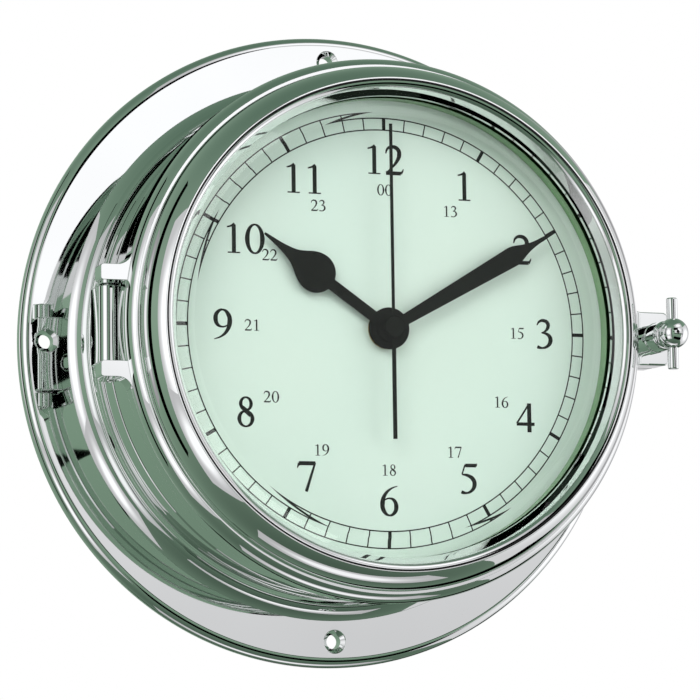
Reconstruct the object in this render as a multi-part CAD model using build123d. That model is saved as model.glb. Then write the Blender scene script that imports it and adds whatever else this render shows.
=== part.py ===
from build123d import *
import math
import os

# A ship's bulkhead clock. Millimetres, +Z up. The wall is the plane y = 0 and the clock looks towards -Y.
# "Depth" is the distance in front of the wall, so a point at depth d has y = -d.
# Radii are measured from the dial's axis, which runs along Y through the origin.

# ---- case ----
FLANGE_R = 100.0           # wall flange, outer radius
FLANGE_FACE = 5.2          # depth of the flange's flat front
FLANGE_ROUND = 3.2         # rounding of the flange's outer front corner
CASE_BORE_R = 77.5         # inside of the case, open at the back
COVE_R = 85.4              # where the flange's flat turns up into the cove
BARREL_R = 80.0            # outside of the case barrel
BEAD_D = 14.6              # depth of the small bead above the cove
RIM_D = 49.6               # depth of the case's front rim, which the bezel closes on
SPIGOT_R = 75.4            # ring on the rim that stands inside the bezel
SPIGOT_D = 57.0
SEAT_REAR = 45.0
SCREW_CIRCLE_R = 91.85     # wall screws
SCREW_HOLE_R = 2.3
SCREW_SINK_R = 3.5
WALL_SCREWS = 4

# ---- dial ----
DIAL_D = 54.0              # depth of the printed face
DIAL_T = 1.0
DIAL_R = 73.3
DIAL_LEDGE_R = 70.0
DIAL_SCREW_CIRCLE_R = 71.7
DIAL_SCREWS = 6

# ---- bezel and glass ----
BEZEL_REAR = 50.6
BEZEL_R = 82.0
BEZEL_BORE_R = 76.6
BEZEL_STEP_D = 59.4        # inner step that the glass retainer bears on
GLASS_BORE_R = 71.3
GLASS_SEAT_D = 64.9
OPENING_R = 69.0           # visible opening
CREST_R = 73.6
CREST_D = 71.6
GLASS_R = 71.0
GLASS_REAR = 61.6
GLASS_T = 4.1
GLASS_FLAT_R = 64.2        # flat part inside the bevel
GLASS_RIM_D = 63.9
RETAINER_SCREWS = 6
RETAINER_SCREW_CIRCLE_R = 73.8
RETAINER_R = 75.9          # ring behind the glass
RETAINER_THROAT_R = 68.2   # its polished inner wall, at the rear
RETAINER_SKIRT_R = 70.3
RETAINER_REAR = 55.4
SEAL_R = 79.0              # rubber ring on the case's rim
SEAL_BORE_R = 76.2

# ---- hinge on the left ----
HINGE_X = -83.2
HINGE_D = 45.6
HINGE_R = 3.5
KNUCKLE_HALF = 11.6        # half height of the case's knuckle block
LUG_IN = 11.75             # the bezel's two lugs, measured up and down from the middle
LUG_OUT = 16.5
LUG_FRONT = 57.4
LUG_TIP_X = -88.9
PIN_R = 1.5
RUNNING_GAP = 0.05         # radial gap of a running fit

# ---- clasp on the right ----
CLASP_X = 89.4
CLASP_HALF = 8.3
CLASP_END_X = 94.4
CLASP_FRONT = 53.0
LUG_REAR = 44.8
CATCH_FRONT = 44.4
CATCH_REAR = 38.6
BOSS_R = 4.7
BOSS_FRONT = 56.0
SHANK_R = 2.4
TIP_R = 1.95
TIP_END = 39.8
CATCH_HOLE_R = 2.25
BALL_R = 4.7
BALL_D = 66.8
BAR_R = 1.7
BAR_HALF = 11.0
BAR_D = 66.3
HEAD_R = 4.5               # turned collar of the screw's head, under the ball
HEAD_REAR = 56.1
HEAD_FRONT = 61.6
NECK_R = 3.5
GROOVE_R = 1.7             # groove round the screw that holds the captive clip
GROOVE_REAR = 44.85
GROOVE_FRONT = 45.7
CLIP_R = 3.2
CLIP_REAR = 44.95
CLIP_FRONT = 45.6
CLIP_POCKET_R = 3.6        # recess behind the clasp, which the clip rises into
CLIP_POCKET_D = 50.9

# ---- hands ----
HOUR_ANGLE = 305.0         # clockwise from twelve
MINUTE_ANGLE = 60.0
SECOND_ANGLE = 0.0
HAND_T = 0.5
HOUR_D = 56.0              # rear face of each hand
MINUTE_D = 57.9
SECOND_D = 59.7
HOUR_TIP = 47.5
MINUTE_TIP = 62.3
SECOND_TIP = 61.5
SECOND_TAIL = 33.5
HUB_R = 6.3

# ---- movement ----
BLOCK_HALF = 28.0
BLOCK_FRONT = 51.5
BLOCK_REAR = 35.5
BLOCK_WALL = 1.2
BUSH_R = 4.0
HOUR_PIPE_R = 2.6
MINUTE_PIPE_R = 1.7
SECOND_ARBOR_R = 0.6
PIPE_GAP = 0.06
ARBOR_R = 0.5
FRONT_PIVOT = 50.3         # inner face of the movement's front wall
REAR_PIVOT = 36.7          # inner face of the movement's cover
WHEEL_T = 0.8
FIRST_WHEEL_D = 38.8       # rear face of each wheel
SECOND_WHEEL_D = 40.6
THIRD_WHEEL_D = 42.6
CENTRE_WHEEL_D = 44.6
MINUTE_PINION_D = 46.2
MOTION_WHEEL_D = 46.4
HOUR_WHEEL_D = 48.7
KNOB_GRIP_R = 6.0
KNOB_REAR = 32.0
MOTION_POST_R = 0.7
FINE_MODULE = 0.3
ROTOR_TEETH = 8
FIRST_WHEEL_TEETH = 40
FIRST_PINION_TEETH = 10
SECOND_WHEEL_TEETH = 60
SECOND_PINION_TEETH = 8
THIRD_WHEEL_TEETH = 60
THIRD_PINION_TEETH = 8
CENTRE_WHEEL_TEETH = 64
MINUTE_PINION_TEETH = 12
MOTION_WHEEL_TEETH = 36
MOTION_PINION_TEETH = 10
HOUR_WHEEL_TEETH = 40
KNOB_TEETH = 24
MOTION_MODULE = 0.4
# Where each arbor stands, as seen from the front: the direction from the arbor that it meshes with,
# in degrees from +X towards +Z.
THIRD_DIRECTION = 158.0
MOTION_DIRECTION = 45.0
KNOB_DIRECTION = 45.0
FIRST_DIRECTION = -11.0
ROTOR_DIRECTION = -19.0
COIL_X = 23.9
COIL_FOOT = -7.9
COIL_TOP = 11.0
COIL_D = 43.0
COIL_R = 2.7
COIL_CORE_R = 1.7
BATTERY_R = 7.1
BATTERY_HALF = 24.5
BATTERY_D = 42.9
BATTERY_Z = -19.2


# ---- helpers ----
def front(depth):
    """Plane parallel to the wall at a depth, looking forward; its x is X and its y is Z."""
    return Plane.XZ.offset(depth)


def plug(radius, rear, depth, x=0.0, z=0.0):
    """Cylinder along the dial axis between two depths."""
    return extrude(front(rear) * Pos(x, z) * Circle(radius), amount=depth - rear)


def tube(outer, inner, rear, depth, x=0.0, z=0.0):
    return plug(outer, rear, depth, x, z) - plug(inner, rear - 1, depth + 1, x, z)


def slab(x0, x1, z0, z1, rear, depth, corner=0.0):
    """Block between two depths, with rounded corners as seen from the front."""
    outline = RectangleRounded(x1 - x0, z1 - z0, corner) if corner else Rectangle(x1 - x0, z1 - z0)
    return extrude(front(rear) * Pos((x0 + x1) / 2, (z0 + z1) / 2) * outline, amount=depth - rear)


def turned(*edges):
    """Solid of revolution about the dial axis from edges drawn as (radius, -depth)."""
    return revolve(make_face(Wire(list(edges))), axis=Axis.Y)


def run(*points):
    """Straight edges through (radius, depth) points."""
    flat = [(r, -d) for r, d in points]
    return [Line(a, b) for a, b in zip(flat, flat[1:])]


def arc(start, middle, end):
    return ThreePointArc(*[(r, -d) for r, d in (start, middle, end)])


def ring_points(radius, count, first=0.0):
    """Places evenly spaced on a circle, as (x, z), starting at an angle from +X."""
    angles = [math.radians(first + 360.0 * i / count) for i in range(count)]
    return [(radius * math.cos(a), radius * math.sin(a)) for a in angles]


def mesh_phase(driver, driver_phase, driven, direction):
    """Angle of one tooth of the driven gear, so that it meshes with the driver in that direction."""
    return direction + 180 - (180 - driver * (direction - driver_phase)) / driven


def gear(teeth, module, phase, rear, depth, x=0.0, z=0.0):
    """Spur gear with plain flat-sided teeth, thinned for running clearance."""
    pitch_r = teeth * module / 2
    step = 360.0 / teeth
    root_r = pitch_r - 1.05 * module
    tip_r = pitch_r + 0.75 * module
    rising = [(root_r, -0.30), (pitch_r, -0.20), (tip_r, -0.08)]
    profile = rising + [(r, -share) for r, share in reversed(rising)]
    points = []
    for i in range(teeth):
        for radius, share in profile:
            a = math.radians(phase + step * (i + share))
            points.append((x + radius * math.cos(a), z + radius * math.sin(a)))
    outline = make_face(Polyline(*points, close=True))
    return extrude(front(rear) * outline, amount=depth - rear)


def place(origin, distance, direction):
    a = math.radians(direction)
    return (origin[0] + distance * math.cos(a), origin[1] + distance * math.sin(a))


# ---- case pieces ----
def case_flange():
    """Wall flange with its cove, up to the bead that the barrel is seated on."""
    lip = FLANGE_R - FLANGE_ROUND
    side = FLANGE_FACE - FLANGE_ROUND
    bend = FLANGE_ROUND * (1 - math.cos(math.radians(45)))
    cove_top = BARREL_R + 0.8
    flange = turned(
        *run((CASE_BORE_R, 0), (FLANGE_R - 0.5, 0), (FLANGE_R, 0.5), (FLANGE_R, side)),
        arc((FLANGE_R, side), (FLANGE_R - bend, FLANGE_FACE - bend), (lip, FLANGE_FACE)),
        *run((lip, FLANGE_FACE), (COVE_R, FLANGE_FACE)),
        arc((COVE_R, FLANGE_FACE), (82.0, 8.2), (cove_top, BEAD_D - 0.6)),
        arc((cove_top, BEAD_D - 0.6), (cove_top + 0.6, BEAD_D), (cove_top, BEAD_D + 0.6)),
        *run((cove_top, BEAD_D + 0.6), (CASE_BORE_R, BEAD_D + 0.6), (CASE_BORE_R, 0)),
    )
    sink = SCREW_SINK_R - SCREW_HOLE_R
    for x, z in ring_points(SCREW_CIRCLE_R, WALL_SCREWS):
        flange -= plug(SCREW_HOLE_R, -1, FLANGE_FACE + 1, x, z)
        cone = Cone(SCREW_HOLE_R, SCREW_SINK_R + 0.4, sink + 0.4)
        flange -= Pos(x, -(FLANGE_FACE - sink + (sink + 0.4) / 2 + 0.1), z) * Rot(90, 0, 0) * cone
    return flange


def case_barrel():
    """Turned tube with two shallow steps, seated on the flange's bead."""
    return turned(
        *run((CASE_BORE_R, BEAD_D + 0.6), (BARREL_R + 0.3, BEAD_D + 0.6), (BARREL_R + 0.3, 22.0)),
        *run((BARREL_R + 0.3, 22.0), (BARREL_R, 22.3), (BARREL_R, 31.0), (BARREL_R - 0.3, 31.3)),
        *run((BARREL_R - 0.3, 31.3), (BARREL_R - 0.3, RIM_D - 0.5)),
        *run((BARREL_R - 0.3, RIM_D - 0.5), (BARREL_R - 0.8, RIM_D), (CASE_BORE_R, RIM_D)),
        *run((CASE_BORE_R, RIM_D), (CASE_BORE_R, BEAD_D + 0.6)),
    )


def dial_seat():
    """Ring in the barrel's mouth: the ledge for the dial, and the spigot that stands inside the bezel."""
    seat = turned(
        *run((CASE_BORE_R, SEAT_REAR), (CASE_BORE_R, RIM_D), (SPIGOT_R, RIM_D), (SPIGOT_R, SPIGOT_D - 0.4)),
        *run((SPIGOT_R, SPIGOT_D - 0.4), (SPIGOT_R - 0.4, SPIGOT_D), (DIAL_R + 0.3, SPIGOT_D)),
        *run((DIAL_R + 0.3, SPIGOT_D), (DIAL_R + 0.3, DIAL_D - DIAL_T), (DIAL_LEDGE_R, DIAL_D - DIAL_T)),
        *run((DIAL_LEDGE_R, DIAL_D - DIAL_T), (DIAL_LEDGE_R, SEAT_REAR), (CASE_BORE_R, SEAT_REAR)),
    )
    for x, z in ring_points(DIAL_SCREW_CIRCLE_R, DIAL_SCREWS, 30.0):
        seat -= plug(0.8, DIAL_D - DIAL_T - 3.0, DIAL_D, x, z)
    return seat


def hinge_knuckle():
    block = slab(HINGE_X - HINGE_R, HINGE_X + 6, -KNUCKLE_HALF, KNUCKLE_HALF, 36.5, HINGE_D)
    block = fillet(block.edges().filter_by(Axis.Z).sort_by(Axis.X)[0:2].sort_by(Axis.Y)[-1], 1.0)
    barrel = Pos(HINGE_X, -HINGE_D, 0) * Cylinder(HINGE_R, 2 * KNUCKLE_HALF)
    body = (block + barrel) - plug(BARREL_R - 0.3, 30, RIM_D)
    body -= Pos(0, -(HINGE_D + 10), 0) * Box(2 * (BARREL_R - 0.3), 20, 60)
    return body - Pos(HINGE_X, -HINGE_D, 0) * Cylinder(PIN_R, 60)


def hinge_pin():
    pin = Cylinder(PIN_R, 2 * LUG_OUT + 0.8)
    pin = fillet(pin.edges().filter_by(GeomType.CIRCLE), 0.5)
    return Pos(HINGE_X, -HINGE_D, 0) * pin


def catch_lug():
    block = slab(74, CLASP_END_X - 0.4, -CLASP_HALF, CLASP_HALF, CATCH_REAR, CATCH_FRONT)
    corners = block.edges().filter_by(Axis.Y).sort_by(Axis.X)[-2:]
    block = fillet(corners, 2.0)
    rim = block.edges().filter_by(Plane.XZ).group_by(Axis.Y)[-1].sort_by(Axis.X)[1:]
    block = fillet(rim, 0.6)
    block -= plug(BARREL_R - 0.3, 30, RIM_D)
    return block - plug(CATCH_HOLE_R, 30, RIM_D, CLASP_X)


def bezel_seal():
    return tube(SEAL_R, SEAL_BORE_R, RIM_D, BEZEL_REAR - 0.3)


def dial_plate():
    plate = plug(DIAL_R, DIAL_D - DIAL_T, DIAL_D) - plug(BUSH_R + 0.1, 40, 60)
    for x, z in ring_points(DIAL_SCREW_CIRCLE_R, DIAL_SCREWS, 30.0):
        plate -= plug(0.85, 40, 60, x, z)
    return plate


def slotted_screw(x, z, head_r, shank_r, tip, seat, top):
    screw = plug(head_r, seat, top, x, z) + plug(shank_r, tip, seat, x, z)
    return screw - slab(x - head_r, x + head_r, z - 0.15, z + 0.15, top - 0.4, top + 1)


def dial_screws():
    places = ring_points(DIAL_SCREW_CIRCLE_R, DIAL_SCREWS, 30.0)
    return [slotted_screw(x, z, 1.2, 0.8, DIAL_D - 3.6, DIAL_D, DIAL_D + 0.8) for x, z in places]


# ---- bezel pieces ----
def bezel():
    ring = turned(
        *run((BEZEL_BORE_R, BEZEL_REAR), (BEZEL_R - 0.5, BEZEL_REAR), (BEZEL_R, BEZEL_REAR + 0.5)),
        *run((BEZEL_R, BEZEL_REAR + 0.5), (BEZEL_R, 55.8)),
        arc((BEZEL_R, 55.8), (81.2, 59.2), (79.5, 61.0)),
        *run((79.5, 61.0), (78.5, 61.0), (78.5, 61.8)),
        arc((78.5, 61.8), (76.9, 67.9), (CREST_R, CREST_D)),
        arc((CREST_R, CREST_D), (71.9, 71.3), (70.7, 70.1)),
        *run((70.7, 70.1), (OPENING_R, 66.4), (OPENING_R, GLASS_SEAT_D), (GLASS_BORE_R, GLASS_SEAT_D)),
        *run((GLASS_BORE_R, GLASS_SEAT_D), (GLASS_BORE_R, BEZEL_STEP_D), (BEZEL_BORE_R, BEZEL_STEP_D)),
        *run((BEZEL_BORE_R, BEZEL_STEP_D), (BEZEL_BORE_R, BEZEL_REAR)),
    )
    for x, z in ring_points(RETAINER_SCREW_CIRCLE_R, RETAINER_SCREWS, 30.0):
        ring -= plug(0.9, BEZEL_STEP_D - 1, 63.2, x, z)
    ring += hinge_lugs()
    ring += clasp_lug()
    ring -= plug(SHANK_R + PIPE_GAP, 40, 60, CLASP_X)
    ring -= plug(CLIP_POCKET_R, 40, CLIP_POCKET_D, CLASP_X)
    return ring - plug(BOSS_R + 0.5, BOSS_FRONT, 72, CLASP_X)


def clasp_lug():
    """Ear on the right with a boss for the thumb screw, blended into the ring."""
    ear = Circle(BEZEL_R) + Pos((74 + CLASP_END_X) / 2, 0) * Rectangle(CLASP_END_X - 74, 2 * CLASP_HALF)
    roots = ear.vertices().filter_by(lambda v: v.X < BEZEL_R + 0.5)
    ear = fillet(roots, 4.5)
    tips = ear.vertices().filter_by(lambda v: v.X > CLASP_END_X - 0.1)
    ear = fillet(tips, 1.6) - Circle(BEZEL_BORE_R + 2)
    ear &= Pos(87, 0) * Rectangle(30, 40)
    lug = extrude(front(BEZEL_REAR) * ear, amount=CLASP_FRONT - BEZEL_REAR)
    below = slab(74, CLASP_END_X, -CLASP_HALF, CLASP_HALF, LUG_REAR, BEZEL_REAR)
    below = fillet(below.edges().filter_by(Axis.Y).sort_by(Axis.X)[-2:], 1.6)
    lug += below - plug(BARREL_R + 0.9, 40, 60)
    return lug + plug(BOSS_R, CLASP_FRONT - 1, BOSS_FRONT, CLASP_X)


def hinge_lugs():
    """Two ears on the left that carry the hinge pin, blended into the ring."""
    left = HINGE_X - HINGE_R
    middle = (LUG_IN + LUG_OUT) / 2
    height = LUG_OUT - LUG_IN
    ear = Circle(BEZEL_R)
    for side in (1, -1):
        ear += Pos((LUG_TIP_X - 74) / 2, side * middle) * Rectangle(-74 - LUG_TIP_X, height)
    inner = ear.vertices().filter_by(lambda v: LUG_TIP_X + 1 < v.X < 0 and abs(v.Y) < LUG_IN + 1)
    ear = fillet(inner, 0.8)
    outer = ear.vertices().filter_by(lambda v: LUG_TIP_X + 1 < v.X < 0 and abs(v.Y) > LUG_OUT - 1)
    ear = fillet(outer, 4.6)
    tips = ear.vertices().filter_by(lambda v: v.X < LUG_TIP_X + 0.1)
    ear = fillet(tips, 0.7) - Circle(BEZEL_BORE_R + 2)
    ear &= Pos(-85, 0) * Rectangle(22, 60)
    lugs = extrude(front(BEZEL_REAR) * ear, amount=LUG_FRONT - BEZEL_REAR)
    for side in (1, -1):
        low = side * middle - height / 2
        lugs += slab(left, -74, low, low + height, HINGE_D, BEZEL_REAR)
        lugs += Pos(HINGE_X, -HINGE_D, side * middle) * Cylinder(HINGE_R, height)
    lugs -= plug(BARREL_R + 0.5, 30, BEZEL_REAR)
    return lugs - Pos(HINGE_X, -HINGE_D, 0) * Cylinder(PIN_R + RUNNING_GAP, 60)


def glass():
    face = GLASS_REAR + GLASS_T
    return turned(
        *run((0, GLASS_REAR), (GLASS_R, GLASS_REAR), (GLASS_R, GLASS_RIM_D), (GLASS_R - 1.3, GLASS_RIM_D)),
        *run((GLASS_R - 1.3, GLASS_RIM_D), (GLASS_FLAT_R, face), (0, face), (0, GLASS_REAR)),
    )


def glass_gasket():
    return tube(GLASS_R + 0.2, GLASS_R - 1.2, GLASS_RIM_D, GLASS_SEAT_D)


def glass_retainer():
    nose = GLASS_BORE_R - 0.2
    flange_rear = SPIGOT_D + 0.5
    ring = turned(
        *run((RETAINER_THROAT_R, RETAINER_REAR), (RETAINER_THROAT_R + 0.5, GLASS_REAR), (nose, GLASS_REAR)),
        *run((nose, GLASS_REAR), (nose, BEZEL_STEP_D), (RETAINER_R, BEZEL_STEP_D), (RETAINER_R, flange_rear)),
        *run((RETAINER_R, flange_rear), (RETAINER_SKIRT_R, flange_rear), (RETAINER_SKIRT_R, RETAINER_REAR)),
        *run((RETAINER_SKIRT_R, RETAINER_REAR), (RETAINER_THROAT_R, RETAINER_REAR)),
    )
    for x, z in ring_points(RETAINER_SCREW_CIRCLE_R, RETAINER_SCREWS, 30.0):
        ring -= plug(0.95, 50, 60, x, z)
        ring -= plug(1.6, 50, 58.3, x, z)
    return ring


def retainer_screws():
    screws = []
    for x, z in ring_points(RETAINER_SCREW_CIRCLE_R, RETAINER_SCREWS, 30.0):
        screw = plug(1.5, 57.7, 58.3, x, z) + plug(0.9, 58.3, 63.0, x, z)
        screws.append(screw - slab(x - 2, x + 2, z - 0.15, z + 0.15, 57, 58))
    return screws


# ---- thumb screw ----
def captive_clip():
    ring = tube(CLIP_R, GROOVE_R + PIPE_GAP, CLIP_REAR, CLIP_FRONT, CLASP_X)
    return ring - slab(CLASP_X - 0.8, CLASP_X + 0.8, -5, 0, 44, 46)


def thumb_screw():
    screw = turned(
        *run((0, TIP_END), (TIP_R - 0.5, TIP_END), (TIP_R, TIP_END + 0.5), (TIP_R, GROOVE_REAR)),
        *run((TIP_R, GROOVE_REAR), (GROOVE_R, GROOVE_REAR), (GROOVE_R, GROOVE_FRONT)),
        *run((GROOVE_R, GROOVE_FRONT), (SHANK_R, GROOVE_FRONT), (SHANK_R, HEAD_REAR)),
        *run((SHANK_R, HEAD_REAR), (HEAD_R - 0.2, HEAD_REAR), (HEAD_R, HEAD_REAR + 0.2), (HEAD_R, HEAD_FRONT)),
        arc((HEAD_R, HEAD_FRONT), (HEAD_R - 0.35, HEAD_FRONT + 1.0), (NECK_R, HEAD_FRONT + 1.6)),
        *run((NECK_R, HEAD_FRONT + 1.6), (NECK_R, BALL_D), (0, BALL_D), (0, TIP_END)),
    )
    screw += Pos(0, -BALL_D, 0) * Sphere(BALL_R)
    screw -= Pos(0, -BAR_D, 0) * Cylinder(BAR_R, 30)
    return Pos(CLASP_X, 0, 0) * screw


def tommy_bar():
    bar = Cylinder(BAR_R, 2 * BAR_HALF)
    bar = fillet(bar.edges().filter_by(GeomType.CIRCLE), 0.5)
    return Pos(CLASP_X, -BAR_D, 0) * bar


# ---- hands ----
def pointing(shape, angle):
    """Turns something that points up so that it points at a clockwise angle."""
    return Rot(0, angle, 0) * shape


def hand_blade(left_side, tip, depth):
    """Flat blade from its left outline, as (half width, distance from the centre)."""
    left = [(-w, r) for w, r in left_side]
    right = [(w, r) for w, r in reversed(left_side)]
    outline = Spline(*left) + Line(left[-1], (-0.3, tip)) + Line((-0.3, tip), (0.3, tip))
    outline += Line((0.3, tip), right[0]) + Spline(*right) + Line(right[-1], left[0])
    return extrude(front(depth) * make_face(outline), amount=HAND_T)


def hour_hand():
    stem = extrude(front(HOUR_D) * Pos(0, 14) * Rectangle(3.4, 20), amount=HAND_T)
    bulb = plug(6.1, HOUR_D, HOUR_D + HAND_T, 0, 28.0)
    spear = hand_blade([(5.9, 29.6), (4.6, 32.6), (2.6, 35.6), (1.3, 39.5), (0.7, 43.5)], HOUR_TIP, HOUR_D)
    hub = plug(HUB_R, HOUR_D, HOUR_D + HAND_T)
    collar = plug(4.2, HOUR_D - 0.3, HOUR_D + 0.9)
    hand = stem + bulb + spear + hub + collar
    hand -= plug(HOUR_PIPE_R, 50, 60)
    return pointing(hand, HOUR_ANGLE)


def minute_hand():
    wedge = make_face(Polyline((-1.6, 2), (-3.0, 45.0), (3.0, 45.0), (1.6, 2), close=True))
    hand = extrude(front(MINUTE_D) * wedge, amount=HAND_T)
    point = [(3.0, 44.9), (2.7, 47.6), (1.7, 50.4), (0.95, 53.5), (0.65, 57.0)]
    hand += hand_blade(point, MINUTE_TIP, MINUTE_D)
    hand += plug(4.4, MINUTE_D, MINUTE_D + HAND_T)
    hand += plug(3.3, MINUTE_D - 0.3, MINUTE_D + 0.9)
    hand -= plug(MINUTE_PIPE_R, 50, 62)
    return pointing(hand, MINUTE_ANGLE)


def second_hand():
    top = SECOND_D + HAND_T - 0.1
    hand = slab(-0.45, 0.45, 0, SECOND_TIP, SECOND_D, top)
    hand += slab(-0.6, 0.6, -SECOND_TAIL, 0, SECOND_D, top)
    hand += plug(2.6, SECOND_D - 0.3, SECOND_D + 0.8)
    hand -= plug(SECOND_ARBOR_R, 50, 70)
    return pointing(hand, SECOND_ANGLE)


def second_cap():
    cap = plug(3.25, SECOND_D + 0.8, SECOND_D + 1.7)
    cap = fillet(cap.edges().filter_by(GeomType.CIRCLE).sort_by(Axis.Y)[0], 0.5)
    return cap - plug(SECOND_ARBOR_R, 50, SECOND_D + 1.2)


# ---- movement housing ----
def movement_front():
    outer = slab(-BLOCK_HALF, BLOCK_HALF, -BLOCK_HALF, BLOCK_HALF, REAR_PIVOT, BLOCK_FRONT, 3.0)
    inner_half = BLOCK_HALF - BLOCK_WALL
    shell = outer - slab(-inner_half, inner_half, -inner_half, inner_half, REAR_PIVOT - 1, FRONT_PIVOT, 1.8)
    shell -= plug(BUSH_R, 45, 60)
    posts = [THIRD_AT, FIRST_AT, ROTOR_AT]
    for x, z in posts:
        shell += plug(1.4, FRONT_PIVOT - 0.5, FRONT_PIVOT + 0.2, x, z)
        shell -= plug(ARBOR_R + RUNNING_GAP, FRONT_PIVOT - 1, FRONT_PIVOT + 0.6, x, z)
    shell += plug(MOTION_POST_R, MOTION_WHEEL_D - 0.5, FRONT_PIVOT + 0.2, *MOTION_AT)
    shell += slab(-inner_half - 0.2, inner_half + 0.2, -11.4, -10.4, REAR_PIVOT, FRONT_PIVOT + 0.2)
    return shell


def movement_cover():
    cover = slab(-BLOCK_HALF, BLOCK_HALF, -BLOCK_HALF, BLOCK_HALF, BLOCK_REAR, REAR_PIVOT, 3.0)
    bay = BATTERY_HALF + 2.2
    cover -= slab(-bay, bay, BATTERY_Z - 7.6, BATTERY_Z + 7.4, BLOCK_REAR - 1, REAR_PIVOT + 1, 1.0)
    cover -= plug(2.0, BLOCK_REAR - 1, REAR_PIVOT + 1, *KNOB_AT)
    for x, z in (THIRD_AT, FIRST_AT, ROTOR_AT, (0.0, 0.0)):
        radius = SECOND_ARBOR_R if (x, z) == (0.0, 0.0) else ARBOR_R
        cover += plug(1.6, REAR_PIVOT - 0.2, REAR_PIVOT + 0.5, x, z)
        cover -= plug(radius + RUNNING_GAP, REAR_PIVOT - 0.6, REAR_PIVOT + 1, x, z)
    return cover


def centre_bush():
    body = tube(BUSH_R, HOUR_PIPE_R + PIPE_GAP, FRONT_PIVOT - 0.4, DIAL_D + 1.6)
    return body + tube(6.5, HOUR_PIPE_R + PIPE_GAP, FRONT_PIVOT - 0.4, FRONT_PIVOT)


def rubber_washer():
    return tube(14.0, BUSH_R + 0.1, BLOCK_FRONT, DIAL_D - DIAL_T)


def brass_washer():
    return tube(6.0, BUSH_R + 0.1, DIAL_D, DIAL_D + 0.3)


def fixing_nut():
    nut = extrude(front(DIAL_D + 0.3) * RegularPolygon(5.6, 6), amount=1.1)
    return nut - plug(BUSH_R, 50, 60)


def battery():
    body = Cylinder(BATTERY_R, 2 * BATTERY_HALF - 1.6, rotation=(0, 90, 0))
    body = fillet(body.edges().filter_by(GeomType.CIRCLE), 0.8)
    nub = Pos(BATTERY_HALF - 0.6, 0, 0) * Cylinder(2.7, 1.9, rotation=(0, 90, 0))
    return Pos(0, -BATTERY_D, BATTERY_Z) * (Pos(-0.3, 0, 0) * body + nub)


def battery_contacts():
    plus_x = BATTERY_HALF + 0.7
    plus = Pos(plus_x, -BATTERY_D, BATTERY_Z) * Box(0.5, 10, 10)
    minus_x = -BATTERY_HALF - 1.8
    minus = Pos(minus_x, -BATTERY_D, BATTERY_Z) * Box(0.5, 10, 10)
    cup = Pos(minus_x + 0.75, -BATTERY_D, BATTERY_Z) * Cone(4.0, 2.0, 1.2, rotation=(0, 90, 0))
    return [plus, minus + cup]


def circuit_board():
    return slab(-26.4, -11.5, 11.5, 26.4, 46.4, 47.4, 1.0)


def board_parts():
    chip = slab(-22.0, -17.0, 16.5, 21.5, 47.4, 48.9, 1.5)
    can = Pos(-21.0, -48.4, 24.3) * Cylinder(1.0, 7.0, rotation=(0, 90, 0))
    return [chip, can]


def coil_bobbin():
    height = COIL_TOP - COIL_FOOT
    spool = Cylinder(COIL_CORE_R, height)
    for side in (1, -1):
        spool += Pos(0, 0, side * (height / 2 - 0.4)) * Cylinder(COIL_R + 0.1, 0.8)
    spool -= Box(1.9, 1.9, 2 * height)
    return Pos(COIL_X, -COIL_D, (COIL_TOP + COIL_FOOT) / 2) * spool


def coil_winding():
    winding = Cylinder(COIL_R, COIL_TOP - COIL_FOOT - 1.6) - Cylinder(COIL_CORE_R, 60)
    return Pos(COIL_X, -COIL_D, (COIL_TOP + COIL_FOOT) / 2) * winding


def stator():
    """Iron sheet round the rotor, joined to the bar that runs through the coil."""
    inner_x = COIL_X - COIL_R - 0.2
    low = COIL_FOOT - 0.2
    high = COIL_TOP + 0.2
    coil_side = [(26.0, low - 2), (26.0, low), (inner_x, low), (inner_x, high), (26.0, high), (26.0, high + 2)]
    rotor_side = [(17.6, high + 2), (15.4, 3.0), (12.9, 0.6), (12.9, low - 2)]
    outline = Polyline(*coil_side, *rotor_side, close=True)
    sheet = extrude(front(COIL_D - 0.7) * make_face(outline), amount=0.8)
    sheet -= plug(3.3, 30, 50, *ROTOR_AT)
    bar = slab(COIL_X - 0.7, COIL_X + 0.7, low - 1.6, high + 1.6, COIL_D + 0.1, COIL_D + 0.8)
    return sheet + bar


# ---- wheel train ----
def third_distance():
    return FINE_MODULE * (SECOND_PINION_TEETH + THIRD_WHEEL_TEETH) / 2


THIRD_MODULE = 2 * third_distance() / (THIRD_PINION_TEETH + CENTRE_WHEEL_TEETH)
MOTION_DISTANCE = MOTION_MODULE * (MINUTE_PINION_TEETH + MOTION_WHEEL_TEETH) / 2
HOUR_MODULE = 2 * MOTION_DISTANCE / (MOTION_PINION_TEETH + HOUR_WHEEL_TEETH)
CENTRE = (0.0, 0.0)
THIRD_AT = place(CENTRE, third_distance(), THIRD_DIRECTION)
MOTION_AT = place(CENTRE, MOTION_DISTANCE, MOTION_DIRECTION)
KNOB_AT = place(MOTION_AT, MOTION_MODULE * (MOTION_WHEEL_TEETH + KNOB_TEETH) / 2, KNOB_DIRECTION)
FIRST_AT = place(CENTRE, FINE_MODULE * (SECOND_WHEEL_TEETH + FIRST_PINION_TEETH) / 2, FIRST_DIRECTION)
ROTOR_AT = place(FIRST_AT, FINE_MODULE * (FIRST_WHEEL_TEETH + ROTOR_TEETH) / 2, ROTOR_DIRECTION)


def rotor():
    phase = mesh_phase(FIRST_WHEEL_TEETH, ROTOR_DIRECTION, ROTOR_TEETH, ROTOR_DIRECTION)
    pinion = gear(ROTOR_TEETH, FINE_MODULE, phase, 38.6, 39.9, *ROTOR_AT)
    magnet = plug(3.0, 40.9, 44.0, *ROTOR_AT)
    arbor = plug(ARBOR_R, REAR_PIVOT - 0.5, FRONT_PIVOT + 0.5, *ROTOR_AT)
    return pinion + magnet + plug(0.9, 39.9, 40.9, *ROTOR_AT) + arbor


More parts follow.
